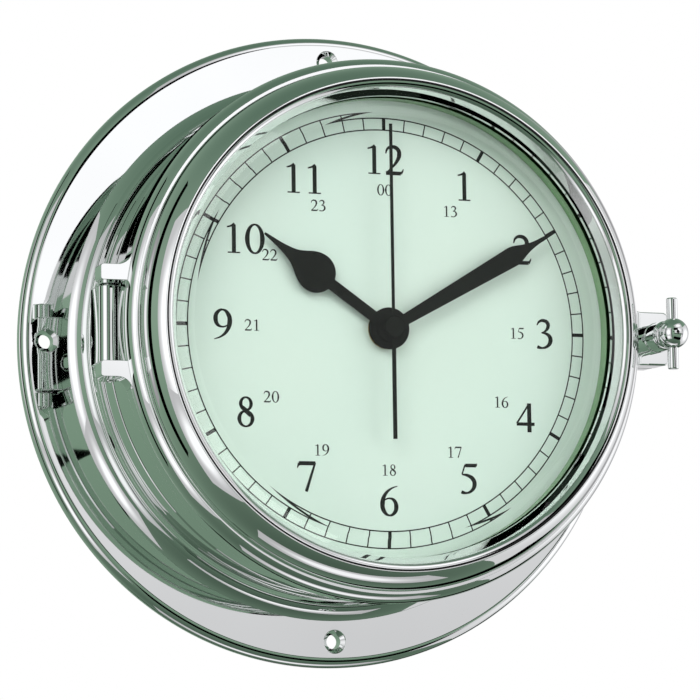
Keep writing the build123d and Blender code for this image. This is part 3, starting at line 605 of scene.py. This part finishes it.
def finish_for(slot):
    """The finish of each of the record's material slots."""
    wish = bpy.context.scene.clock_finishes
    if slot == "chromed_brass":
        return polished("mirror_chrome", tuple(wish.chrome), 0.035, 0.012)
    if slot == "reflector_chrome":
        # the throat's dark green tint carries painted reflection of the dial and painted shade
        return polished("throat_chrome", tuple(wish.throat), 0.30, 0.20, 0.02)
    if slot == "dial_enamel":
        return enamel()
    if slot == "clear_glass":
        return clear_glass()
    if slot == "copper_wire":
        return wound_copper()
    if slot == "board_green":
        return printed_board()
    if slot == "battery_sleeve":
        return battery_sleeve()
    if slot == "brass":
        return brushed("turned_brass", tuple(wish.brass), 0.28, (60, 1, 60))
    if slot == "steel":
        return brushed("nickel_steel", (0.60, 0.60, 0.58), 0.30)
    if slot == "hand_black":
        return speckled("matt_black_paint", tuple(wish.ink), 0.75, 0.0, 1800.0, 0.00001, 0.15, 0.12, 0.05)
    if slot == "black_rubber":
        return speckled("black_rubber_grain", (0.016, 0.016, 0.017), 0.75, 0.0, 1200.0, 0.00003, 0.3)
    if slot == "black_plastic":
        return speckled("black_moulding", (0.022, 0.022, 0.024), 0.48, 0.0, 1400.0, 0.00004, 0.35)
    if slot == "white_plastic":
        return speckled("white_acetal", (0.80, 0.79, 0.74), 0.38, 0.0, 700.0, 0.00001, 0.12, 0.03)
    if slot == "rotor_plastic":
        return speckled("rotor_moulding", (0.16, 0.15, 0.15), 0.42, 0.2, 900.0, 0.00002, 0.2)
    raise ValueError(f"no finish is set for the slot {slot}")


# ---- the turned pieces ----
class CLOCK_OT_case(bpy.types.Operator):
    """Turns the wall flange, with its countersunk screw holes, and the stepped barrel"""
    bl_idname = "clock.case"
    bl_label = "Case"

    def execute(self, context):
        edge = context.scene.clock_sizes.edge
        outline = [(CASE_BORE_R, 0.0), (FLANGE_R, 0.0, FLANGE_REAR_EDGE)] + arc(*LIP, 14) + arc(*COVE, 14)
        outline += arc(*BEAD, 8)[1:] + [(CASE_BORE_R, BARREL_REAR)]
        flange = lathe("wall_flange", rounded(outline, edge))
        for quarter in range(4):
            self.sink_screw_hole(flange, math.radians(90 * quarter))
        smooth(flange)
        chrome = finish_for("chromed_brass")
        settle(flange, "case", "chromed_brass", chrome, "case_flange")
        steps = [(CASE_BORE_R, BARREL_REAR), *BARREL_STEPS, (CASE_BORE_R, BARREL_FRONT)]
        tube = lathe("case_tube", rounded(steps, edge))
        settle(tube, "case", "chromed_brass", chrome, "case_barrel")
        return {"FINISHED"}

    @staticmethod
    def sink_screw_hole(flange, turn):
        """Cuts one countersunk hole, at its turn round the flange."""
        cutter = trail("sink", [(r * MM, -d * MM, 0) for r, d in SCREW_SINK])
        bpy.ops.mesh.select_all(action="SELECT")
        bpy.ops.mesh.spin(steps=64, angle=math.tau, center=(0, 0, 0), axis=(0, 1, 0))
        tidy_up()
        cutter.location = (SCREW_CIRCLE_R * math.cos(turn) * MM, 0, SCREW_CIRCLE_R * math.sin(turn) * MM)
        only(cutter)
        bpy.ops.object.transform_apply(location=True, rotation=True, scale=True)
        combine(flange, cutter, "DIFFERENCE")


class CLOCK_OT_bezel(bpy.types.Operator):
    """Turns the bezel ring and builds its two hinge lugs and the clasp lug"""
    bl_idname = "clock.bezel"
    bl_label = "Bezel"

    def execute(self, context):
        edge = context.scene.clock_sizes.edge
        outline = [(BEZEL_BORE_R, BEZEL_REAR), (BEZEL_R, BEZEL_REAR, 0.5)] + arc(*SHOULDER, 10)
        outline += [(CREST[0][0], SHOULDER[2][1])] + arc(*CREST, 20) + arc(*CREST_INSIDE, 8)[1:]
        outline += [*OPENING, (BEZEL_BORE_R, BEZEL_STEP_D)]
        ring = lathe("bezel_ring", rounded(outline, edge), 320)
        upper = self.hinge_lug("hinge_lug_upper", 1)
        lower = self.hinge_lug("hinge_lug_lower", -1)
        chrome = finish_for("chromed_brass")
        for piece in (ring, upper, lower, self.clasp_lug()):
            settle(piece, "bezel", "chromed_brass", chrome, "bezel")
        return {"FINISHED"}

    @staticmethod
    def flare(half, blend, tip):
        """Half outline of an ear on the ring, as (x, z), from inside the ring along its blend to its tip."""
        mid_z = half + blend
        mid_x = math.sqrt((BEZEL_R + blend) ** 2 - mid_z ** 2)
        first = math.atan2(-mid_z, -mid_x)
        last = -math.pi / 2
        root = [(mid_x + blend * math.cos(first + (last - first) * k / 10),
                 mid_z + blend * math.sin(first + (last - first) * k / 10)) for k in range(11)]
        return [(EAR_ROOT_R, root[0][1])] + root + [(tip, half)]

    def hinge_lug(self, name, side):
        """One lug: the eye round the pin, and the ear in front of it that flares into the ring."""
        left, right = HINGE_X - HINGE_R, HINGE_X + HINGE_R
        side_view = [(LUG_ROOT_X, LUG_BODY_FRONT), (left, LUG_BODY_FRONT), (left, HINGE_D)]
        side_view += arc((left, HINGE_D), (HINGE_X, HINGE_D - HINGE_R), (right, HINGE_D), 16)[1:]
        side_view += [(right, EAR_REAR), (LUG_ROOT_X, EAR_REAR)]
        low = LUG_IN if side > 0 else -LUG_OUT
        body = slab(name, [(x, -d, low) for x, d in side_view], (0, 0, LUG_OUT - LUG_IN), 0.35)
        above = [(x, z, 0.0) for x, z in self.flare(LUG_OUT, LUG_FLARE, LUG_TIP)[:-1]]
        below = [(LUG_TIP, LUG_OUT, 0.9), (LUG_TIP, LUG_IN, 0.9), (EAR_ROOT_R, LUG_IN, 0.0)]
        outline = [(-x, -EAR_REAR, side * z) for x, z in rounded(above + below, 0.0)]
        ear = slab("ear", outline, (0, EAR_REAR - LUG_FRONT, 0), 0.55, 4)
        combine(body, ear, "UNION")
        combine(body, rod("pin_hole", LUG_PIN_HOLE_R, (HINGE_X, -HINGE_D, -30), (HINGE_X, -HINGE_D, 30)),
                "DIFFERENCE")
        smooth(body)
        return body

    def clasp_lug(self):
        """The ear on the right, with the boss and the ways for the thumb screw and its clip."""
        front_view = [(CLASP_ROOT_X, -CLASP_HALF), (CLASP_TIP, -CLASP_HALF, 1.8),
                      (CLASP_TIP, CLASP_HALF, 1.8), (CLASP_ROOT_X, CLASP_HALF)]
        body = slab("clasp_lug", [(x, -CLASP_REAR, z) for x, z in rounded(front_view, 0.0)],
                    (0, CLASP_REAR - CLASP_FRONT, 0), 0.6)
        upper = self.flare(CLASP_HALF, CLASP_FLARE, CLASP_EAR_X)
        outline = upper + [(x, -z) for x, z in reversed(upper)]
        ear = slab("ear", [(x, -EAR_REAR, z) for x, z in outline], (0, EAR_REAR - CLASP_FRONT, 0), 0.5, 3)
        combine(body, ear, "UNION")
        combine(body, rod("boss", BOSS_R, (CLASP_X, -51, 0), (CLASP_X, -BOSS_FRONT, 0), 0.35), "UNION")
        combine(body, rod("screw_way", SCREW_WAY_R, (CLASP_X, -40, 0), (CLASP_X, -60, 0)), "DIFFERENCE")
        combine(body, rod("clip_way", CLIP_WAY_R, (CLASP_X, -40, 0), (CLASP_X, -CLIP_WAY_D, 0)), "DIFFERENCE")
        smooth(body)
        return body


class CLOCK_OT_window(bpy.types.Operator):
    """Turns the bevelled glass and the black gasket that it is bedded in"""
    bl_idname = "clock.window"
    bl_label = "Window"

    def execute(self, context):
        glass = lathe("bevelled_glass", rounded(GLASS_RIM, 0.0))
        settle(glass, "bezel", "clear_glass", finish_for("clear_glass"), "glass")
        glass.visible_shadow = False
        gasket = lathe("glass_bead", rounded(GASKET_RIM, 0.3))
        settle(gasket, "bezel", "black_rubber", finish_for("black_rubber"), "glass_gasket")
        return {"FINISHED"}


class CLOCK_OT_knuckle(bpy.types.Operator):
    """Builds the hinge knuckle on the case's left"""
    bl_idname = "clock.knuckle"
    bl_label = "Knuckle"

    def execute(self, context):
        left = HINGE_X - HINGE_R
        side_view = [(KNUCKLE_ROOT_X, KNUCKLE_REAR), (left, KNUCKLE_REAR, 1.4), (left, HINGE_D)]
        side_view += arc((left, HINGE_D), (HINGE_X, HINGE_D + HINGE_R), (-KNUCKLE_SEAT_R, HINGE_D), 16)[1:]
        side_view += [(KNUCKLE_ROOT_X, HINGE_D)]
        block = slab("hinge_block", [(x, -d, -KNUCKLE_HALF) for x, d in rounded(side_view, 0.0)],
                     (0, 0, 2 * KNUCKLE_HALF), 0.45)
        combine(block, rod("barrel_face", KNUCKLE_SEAT_R, (0, -30, 0), (0, -50, 0), 0.0, 512), "DIFFERENCE")
        combine(block, rod("pin_hole", KNUCKLE_PIN_HOLE_R, (HINGE_X, -HINGE_D, -30), (HINGE_X, -HINGE_D, 30)),
                "DIFFERENCE")
        smooth(block)
        settle(block, "case", "chromed_brass", finish_for("chromed_brass"), "hinge_knuckle")
        return {"FINISHED"}


# ---- the dial's print ----
# Each numeral is a few strokes of a broad pen: (across, up, half width), in parts of the numeral's height.
STROKES = {
    "0": [("loop", (0.37, 0.49), 0.262, 0.478, 0.062, 0.022)],
    "1": [("line", (0.385, 0.02, 0.052), (0.385, 0.94, 0.052)), ("line", (0.17, 0.016, 0.017),
           (0.60, 0.016, 0.017)), ("curve", (0.41, 0.975, 0.030), (0.31, 0.905, 0.026),
           (0.15, 0.855, 0.018))],
    "2": [("curve", (0.055, 0.715, 0.017), (0.13, 0.885, 0.032), (0.31, 0.950, 0.046),
           (0.495, 0.865, 0.054), (0.540, 0.690, 0.058), (0.460, 0.475, 0.042), (0.265, 0.235, 0.026),
           (0.075, 0.060, 0.018)), ("line", (0.055, 0.050, 0.048), (0.590, 0.050, 0.048)),
          ("curve", (0.585, 0.055, 0.047), (0.635, 0.10, 0.026), (0.685, 0.205, 0.012))],
    "3": [("curve", (0.085, 0.790, 0.014), (0.170, 0.915, 0.030), (0.330, 0.955, 0.042),
           (0.485, 0.860, 0.052), (0.470, 0.690, 0.044), (0.350, 0.575, 0.022), (0.245, 0.535, 0.014)),
          ("curve", (0.245, 0.535, 0.014), (0.430, 0.505, 0.036), (0.560, 0.380, 0.056),
           (0.560, 0.215, 0.056), (0.430, 0.065, 0.036), (0.270, 0.020, 0.026), (0.105, 0.050, 0.045),
           (0.080, 0.060, 0.036))],
    "4": [("line", (0.500, 0.965, 0.024), (0.045, 0.300, 0.024)), ("line", (0.035, 0.275, 0.042),
           (0.690, 0.275, 0.042)), ("line", (0.500, 0.0, 0.056), (0.500, 0.980, 0.056))],
    "5": [("line", (0.235, 0.940, 0.046), (0.620, 0.940, 0.046)), ("curve", (0.600, 0.940, 0.046),
           (0.640, 0.985, 0.020), (0.655, 1.010, 0.010)), ("line", (0.225, 0.965, 0.020),
           (0.115, 0.640, 0.020)), ("curve", (0.110, 0.640, 0.018), (0.330, 0.600, 0.040),
           (0.520, 0.460, 0.056), (0.555, 0.280, 0.056), (0.470, 0.115, 0.040), (0.290, 0.020, 0.026),
           (0.110, 0.045, 0.045), (0.080, 0.060, 0.036))],
    "6": [("curve", (0.665, 0.985, 0.010), (0.430, 0.895, 0.024), (0.235, 0.720, 0.042),
           (0.130, 0.440, 0.062), (0.170, 0.165, 0.054), (0.365, 0.010, 0.024), (0.560, 0.120, 0.048),
           (0.610, 0.300, 0.058), (0.545, 0.500, 0.044), (0.385, 0.575, 0.022), (0.225, 0.530, 0.018),
           (0.150, 0.460, 0.016))],
    "7": [("line", (0.085, 0.930, 0.050), (0.655, 0.930, 0.050)), ("curve", (0.105, 0.925, 0.046),
           (0.060, 0.855, 0.024), (0.030, 0.770, 0.012)), ("line", (0.650, 0.955, 0.026),
           (0.330, 0.0, 0.040))],
    "8": [("loop", (0.375, 0.755), 0.178, 0.212, 0.046, 0.022), ("loop", (0.370, 0.265), 0.225, 0.252,
           0.052, 0.022), ("curve", (0.215, 0.680, 0.040), (0.360, 0.540, 0.060),
           (0.540, 0.360, 0.046))],
    "9": [("curve", (0.075, -0.005, 0.010), (0.310, 0.085, 0.024), (0.505, 0.260, 0.042),
           (0.610, 0.540, 0.062), (0.570, 0.815, 0.054), (0.375, 0.970, 0.024), (0.180, 0.860, 0.048),
           (0.130, 0.680, 0.058), (0.195, 0.480, 0.044), (0.355, 0.405, 0.022), (0.515, 0.450, 0.018),
           (0.590, 0.520, 0.016))],
}
ADVANCE = 0.74             # from one numeral to the next, in heights
MIDDLE = 0.49              # the numerals' middle above their foot, in heights
NIB = 1.36                 # weight of the pen


def pen_stroke(kind, *data):
    """One stroke as a curve with a round pen whose width changes along it; made a mesh and pressed flat."""
    drawn = bpy.data.curves.new("stroke", "CURVE")
    drawn.dimensions = "3D"
    drawn.bevel_depth = 1.0
    drawn.bevel_resolution = 1
    drawn.use_fill_caps = True
    if kind == "loop":
        (cx, cy), wide, tall, thick, thin = data
        corners = [(cx + wide, cy, thick), (cx, cy + tall, thin),
                   (cx - wide, cy, thick), (cx, cy - tall, thin)]
        spline = drawn.splines.new("BEZIER")
        spline.bezier_points.add(3)
        spline.use_cyclic_u = True
        pull = 0.5523
        for knot, (x, y, r) in zip(spline.bezier_points, corners):
            across = Vector((-(y - cy) / tall * wide, (x - cx) / wide * tall, 0)) * pull
            knot.co = (x, y, 0)
            knot.radius = r * NIB
            knot.handle_left_type = knot.handle_right_type = "FREE"
            knot.handle_left = knot.co - across
            knot.handle_right = knot.co + across
        drawn.resolution_u = 10
    elif kind == "line":
        spline = drawn.splines.new("POLY")
        spline.points.add(len(data) - 1)
        for knot, (x, y, r) in zip(spline.points, data):
            knot.co = (x, y, 0, 1)
            knot.radius = r * NIB
    else:
        spline = drawn.splines.new("BEZIER")
        spline.bezier_points.add(len(data) - 1)
        for knot, (x, y, r) in zip(spline.bezier_points, data):
            knot.co = (x, y, 0)
            knot.radius = r * NIB
            knot.handle_left_type = knot.handle_right_type = "AUTO"
        drawn.resolution_u = 7
    piece = bpy.data.objects.new("stroke", drawn)
    bpy.context.collection.objects.link(piece)
    only(piece)
    bpy.ops.object.convert(target="MESH")
    return bpy.context.object


def numeral(text, x, z, height):
    """A number standing upright on the dial, centred at (x, z) in millimetres."""
    strokes = []
    start = -ADVANCE * len(text) / 2
    for place, digit in enumerate(text):
        for stroke in STROKES[digit]:
            piece = pen_stroke(*stroke)
            thick = max(v.co.z for v in piece.data.vertices)
            shift = Matrix.Translation((start + place * ADVANCE, -MIDDLE, 0))
            press = Matrix.Diagonal((height * MM, height * MM, INK_THICKNESS * MM / thick, 1))
            stand = Matrix.Rotation(math.radians(90), 4, "X")
            move = Matrix.Translation((x * MM, -DIAL_FACE * MM, z * MM))
            piece.data.transform(move @ stand @ press @ shift)
            strokes.append(piece)
    return strokes


class CLOCK_OT_print(bpy.types.Operator):
    """Prints the minute track and both rings of numerals on the dial"""
    bl_idname = "clock.dial_print"
    bl_label = "Dial print"

    def execute(self, context):
        sizes = context.scene.clock_sizes
        ink = finish_for("hand_black")
        hours, small = [], []
        for hour in range(1, 13):
            a = math.radians(30 * hour)
            sx, cz = math.sin(a), math.cos(a)
            hours += numeral(str(hour), sizes.numeral_ring * sx, sizes.numeral_ring * cz,
                             sizes.numeral_height)
            name = "00" if hour == 12 else str(hour + 12)
            small += numeral(name, sizes.small_ring * sx, sizes.small_ring * cz, sizes.small_height)
        for name, strokes in (("hour_numerals", hours), ("afternoon_numerals", small)):
            whole = join(strokes[0], strokes[1:])
            whole.name = name
            only(whole)
            mode("EDIT")
            tidy_up()
            only(whole)
            bpy.ops.object.shade_smooth_by_angle(angle=math.radians(60))
            settle(whole, "case", "hand_black", ink)
        self.track(sizes, ink)
        return {"FINISHED"}

    def track(self, sizes, ink):
        """The two circles of the minute track and its sixty marks."""
        low, high = DIAL_FACE - TRACK_RISE, DIAL_FACE + TRACK_RISE
        inner, outer = sizes.track_inner, sizes.track_outer
        rings = []
        for name, r in (("ring_in", inner), ("ring_out", outer)):
            near, far = r - TRACK_LINE_HALF, r + TRACK_LINE_HALF
            rings.append(lathe(name, [(near, low), (far, low), (far, high), (near, high)], 240))
        marks = []
        for minute in range(60):
            half = TRACK_LINE_HALF if minute % 5 else TRACK_MARK_HALF
            corners = [(-half, -low, inner), (half, -low, inner), (half, -low, outer), (-half, -low, outer)]
            mark = slab("mark", corners, (0, low - high, 0))
            mark.data.transform(Matrix.Rotation(math.radians(6 * minute), 4, "Y"))
            marks.append(mark)
        track = join(rings[0], rings[1:] + marks)
        track.name = "minute_track"
        settle(track, "case", "hand_black", ink)


# ---- finishes of the pieces kept from the CAD model ----
class CLOCK_OT_finishes(bpy.types.Operator):
    """Gives each piece kept from the CAD model its finish"""
    bl_idname = "clock.finishes"
    bl_label = "Finishes"

    def execute(self, context):
        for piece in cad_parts.values():
            if not piece.hide_render:
                for place, held in enumerate(piece.data.materials):
                    piece.data.materials[place] = finish_for(held.name.split(".")[0])
        return {"FINISHED"}


# ---- the studio ----
AIM = Vector((0, -0.05, 0))    # the point that the cards and lamps face
STOP_R = 68.8                  # the round of the window that the dark disc clears of glare, in millimetres
STOP_Y = -0.55                 # where the disc stands
LILAC = (0.985, 0.975, 1.0)
# Each card: its name, its place in metres, width, height and strength, which is 0 for a black flag.
# A white one has its tint too, and the part of its light that is left at its edges.
CARDS = (
    ("white_front", (0.45, -1.45, 0.42), 1.70, 1.10, 1.15, LILAC, 0.60),
    ("white_left", (-1.30, -0.80, 0.10), 1.15, 2.00, 1.25, LILAC, 0.50),
    ("white_right", (1.35, -0.30, -0.20), 2.20, 2.40, 1.20, LILAC, 0.60),
    ("white_top", (0.45, -0.85, 1.00), 1.30, 0.75, 1.20, LILAC, 0.45),
    ("white_under", (0.05, 0.15, -1.10), 1.10, 0.45, 1.05, LILAC, 0.50),
    ("white_back", (1.00, 1.15, 0.10), 1.50, 1.30, 1.00, LILAC, 0.35),
    ("white_back_left", (-1.30, 0.95, 0.20), 0.50, 1.30, 1.00, LILAC, 0.35),
    ("flag_front", (-0.80, -1.20, 0.00), 0.13, 1.80, 0.0),
    ("flag_up_left", (-0.03, -1.25, 0.60), 0.74, 0.42, 0.0),
    ("flag_nine", (-0.45, -1.30, 0.14), 0.18, 0.16, 0.0),
    ("flag_left", (-0.90, 0.25, 0.10), 0.20, 1.60, 0.0),
    ("flag_right", (1.15, -0.95, 0.00), 0.08, 1.40, 0.0),
    ("flag_low", (0.40, -1.30, -0.19), 1.80, 0.12, 0.0),
    ("flag_floor", (0.25, -1.00, -0.85), 1.30, 0.45, 0.0),
    ("white_low_left", (-0.85, -0.50, -0.60), 0.80, 0.70, 1.15, LILAC, 0.50),
    ("flag_behind", (0.35, 0.75, -0.62), 1.40, 0.30, 0.0),
)
LAMPS = (("key", (-0.8, -1.2, 0.9), 0.9, 11.0), ("fill", (1.0, -1.1, 0.2), 0.9, 6.2))
ROOM_GREY = (0.45, 0.45, 0.45, 1)
# The tent that the chrome mirrors: height from the floor (0) to overhead (1), and colour.
TENT = ((0.0, (0.07, 0.11, 0.08)), (0.45, (0.23, 0.34, 0.25)),
        (0.62, (0.27, 0.38, 0.29)), (1.0, (0.11, 0.18, 0.13)))


def glow(name, strength, tint, soft):
    """Light of a card. A soft card fades out towards its edges."""
    made = bpy.data.materials.new(name)
    made.use_nodes = True
    made.node_tree.nodes.remove(made.node_tree.nodes["Principled BSDF"])
    emission = node(made, "ShaderNodeEmission", Strength=strength)
    emission.inputs["Color"].default_value = (*tint, 1)
    wire(made, emission.outputs["Emission"], made.node_tree.nodes["Material Output"].inputs["Surface"])
    if soft:
        where = node(made, "ShaderNodeTexCoord")
        centre = node(made, "ShaderNodeMapping")
        centre.inputs["Location"].default_value = (-1, -1, 0)
        centre.inputs["Scale"].default_value = (2, 2, 0)
        wire(made, where.outputs["UV"], centre.inputs["Vector"])
        fall = made.node_tree.nodes.new("ShaderNodeTexGradient")
        fall.gradient_type = "QUADRATIC_SPHERE"
        wire(made, centre.outputs["Vector"], fall.inputs["Vector"])
        wire(made, ramp(made, fall.outputs["Fac"], (0.0, tuple(c * soft for c in tint)), (0.35, tint)),
             emission.inputs["Color"])
    return made


def hide_from_all_but_polish(made):
    made.visible_camera = False
    made.visible_shadow = False
    made.visible_diffuse = False
    made.visible_transmission = False
    made.select_set(False)


def card(name, location, width, height, strength, tint=(1, 1, 1), soft=0.0):
    """Studio card that only polished surfaces see, facing the clock. Strength 0 is a black flag."""
    bpy.ops.mesh.primitive_plane_add(size=1)
    made = bpy.context.object
    made.name = name
    made.scale = (width, height, 1)
    made.location = location
    made.rotation_mode = "QUATERNION"
    made.rotation_quaternion = (AIM - Vector(location)).to_track_quat("Z", "Y")
    bpy.ops.object.transform_apply(location=True, rotation=True, scale=True)
    made.data.materials.append(glow(name, strength, tint, soft))
    hide_from_all_but_polish(made)


def glare_stop(eye_at):
    """Dark disc that the window mirrors to the camera, so that no glare lies over the dial."""
    window = Vector((0, -GLASS_FACE * MM, 0))
    mirrored = Vector((eye_at.x, 2 * window.y - eye_at.y, eye_at.z))
    reach = (STOP_Y - mirrored.y) / (window.y - mirrored.y)
    bpy.ops.mesh.primitive_circle_add(
        vertices=96, radius=STOP_R * MM * reach, fill_type="NGON",
        location=mirrored + (window - mirrored) * reach, rotation=(math.radians(90), 0, 0))
    made = bpy.context.object
    made.name = "glare_stop"
    bpy.ops.object.transform_apply(location=True, rotation=True, scale=True)
    made.data.materials.append(glow("glare_stop", 0.02, (1, 1, 1), 0.0))
    hide_from_all_but_polish(made)


def lamp(name, location, size, power):
    """A square soft light aimed at the clock."""
    bpy.ops.object.light_add(type="AREA", location=location)
    made = bpy.context.object
    made.name = name
    made.data.size = size
    made.data.energy = power
    made.visible_glossy = False
    made.rotation_mode = "QUATERNION"
    made.rotation_quaternion = (Vector(location) - AIM).to_track_quat("Z", "Y")
    made.select_set(False)


def studio_world():
    """White to the camera, grey to matt surfaces and through the glass, and a dark green tent to polish."""
    world = bpy.data.worlds.new("studio")
    world.use_nodes = True
    nodes, links = world.node_tree.nodes, world.node_tree.links
    back = nodes["Background"]
    where = nodes.new("ShaderNodeTexCoord")
    split = nodes.new("ShaderNodeSeparateXYZ")
    links.new(where.outputs["Generated"], split.inputs["Vector"])
    height = nodes.new("ShaderNodeMapRange")
    height.inputs["From Min"].default_value = -1
    height.inputs["From Max"].default_value = 1
    links.new(split.outputs["Z"], height.inputs["Value"])
    tent = nodes.new("ShaderNodeValToRGB")
    links.new(height.outputs["Result"], tent.inputs["Fac"])
    for _ in range(2):
        tent.color_ramp.elements.new(0.5)
    for mark, (position, colour) in zip(tent.color_ramp.elements, TENT):
        mark.position = position
        mark.color = (*colour, 1)
    seen = nodes.new("ShaderNodeLightPath")
    matt = nodes.new("ShaderNodeMath")
    matt.operation = "MAXIMUM"
    links.new(seen.outputs["Is Diffuse Ray"], matt.inputs[0])
    links.new(seen.outputs["Is Transmission Ray"], matt.inputs[1])
    room = nodes.new("ShaderNodeMixRGB")
    links.new(matt.outputs["Value"], room.inputs["Fac"])
    links.new(tent.outputs["Color"], room.inputs["Color1"])
    room.inputs["Color2"].default_value = ROOM_GREY
    white = nodes.new("ShaderNodeMixRGB")
    links.new(seen.outputs["Is Camera Ray"], white.inputs["Fac"])
    links.new(room.outputs["Color"], white.inputs["Color1"])
    white.inputs["Color2"].default_value = (1, 1, 1, 1)
    links.new(white.outputs["Color"], back.inputs["Color"])
    return world


class CLOCK_OT_stage(bpy.types.Operator):
    """Sets up the floor, the studio light, the cards and the camera"""
    bl_idname = "clock.stage"
    bl_label = "Stage"

    def execute(self, context):
        stage = context.scene.clock_stage
        context.scene.world = studio_world()
        context.scene.view_settings.view_transform = "Standard"
        bpy.ops.mesh.primitive_plane_add(size=6, location=(0, 0, CAD_BOX[0][2] - stage.floor_drop))
        floor = context.object
        floor.name = "floor"
        bpy.ops.object.transform_apply(location=True, rotation=True, scale=True)
        pale = speckled("floor_pale", (0.85, 0.85, 0.84), 0.8, 0.0, 30.0, 0.0005, 0.02, 0.01)
        floor.data.materials.append(pale)
        floor.visible_glossy = False
        floor.select_set(False)
        for one in CARDS:
            card(*one)
        for one in LAMPS:
            lamp(*one)
        eye = Vector((math.sin(stage.azimuth) * math.cos(stage.elevation),
                      -math.cos(stage.azimuth) * math.cos(stage.elevation),
                      math.sin(stage.elevation)))
        eye_at = Vector(stage.target) + eye * stage.distance
        glare_stop(eye_at)
        bpy.ops.object.camera_add(location=eye_at)
        camera = context.object
        camera.name = "camera"
        camera.rotation_mode = "QUATERNION"
        camera.rotation_quaternion = (-eye).to_track_quat("-Z", "Y") @ Quaternion((0, 0, 1), stage.roll)
        camera.data.lens = stage.lens
        camera.data.sensor_width = 36
        camera.data.clip_start = 0.01
        context.scene.camera = camera
        camera.select_set(False)
        return {"FINISHED"}


STEPS = ("case", "bezel", "window", "knuckle", "dial_print", "finishes", "stage")


class CLOCK_PT_panel(bpy.types.Panel):
    """Lists the pieces in the order that they are made"""
    bl_idname = "CLOCK_PT_panel"
    bl_label = "Ship's clock"
    bl_space_type = "VIEW_3D"
    bl_region_type = "UI"
    bl_category = "Clock"

    def draw(self, context):
        for step in STEPS:
            self.layout.operator(f"clock.{step}")
        for group in (context.scene.clock_sizes, context.scene.clock_finishes, context.scene.clock_stage):
            box = self.layout.box()
            for key in group.bl_rna.properties.keys():
                if key not in ("rna_type", "name"):
                    box.prop(group, key)


GROUPS = {"clock_sizes": ClockSizes, "clock_finishes": ClockFinishes, "clock_stage": ClockStage}
CLASSES = (*GROUPS.values(), CLOCK_OT_case, CLOCK_OT_bezel, CLOCK_OT_window, CLOCK_OT_knuckle, CLOCK_OT_print,
           CLOCK_OT_finishes, CLOCK_OT_stage, CLOCK_PT_panel)


def register():
    for one in CLASSES:
        bpy.utils.register_class(one)
    for name, group in GROUPS.items():
        setattr(bpy.types.Scene, name, bpy.props.PointerProperty(type=group))


def unregister():
    for name in GROUPS:
        delattr(bpy.types.Scene, name)
    for one in reversed(CLASSES):
        bpy.utils.unregister_class(one)


def main():
    register()
    for step in STEPS:
        getattr(bpy.ops.clock, step)()


if __name__ == "__main__":
    main()
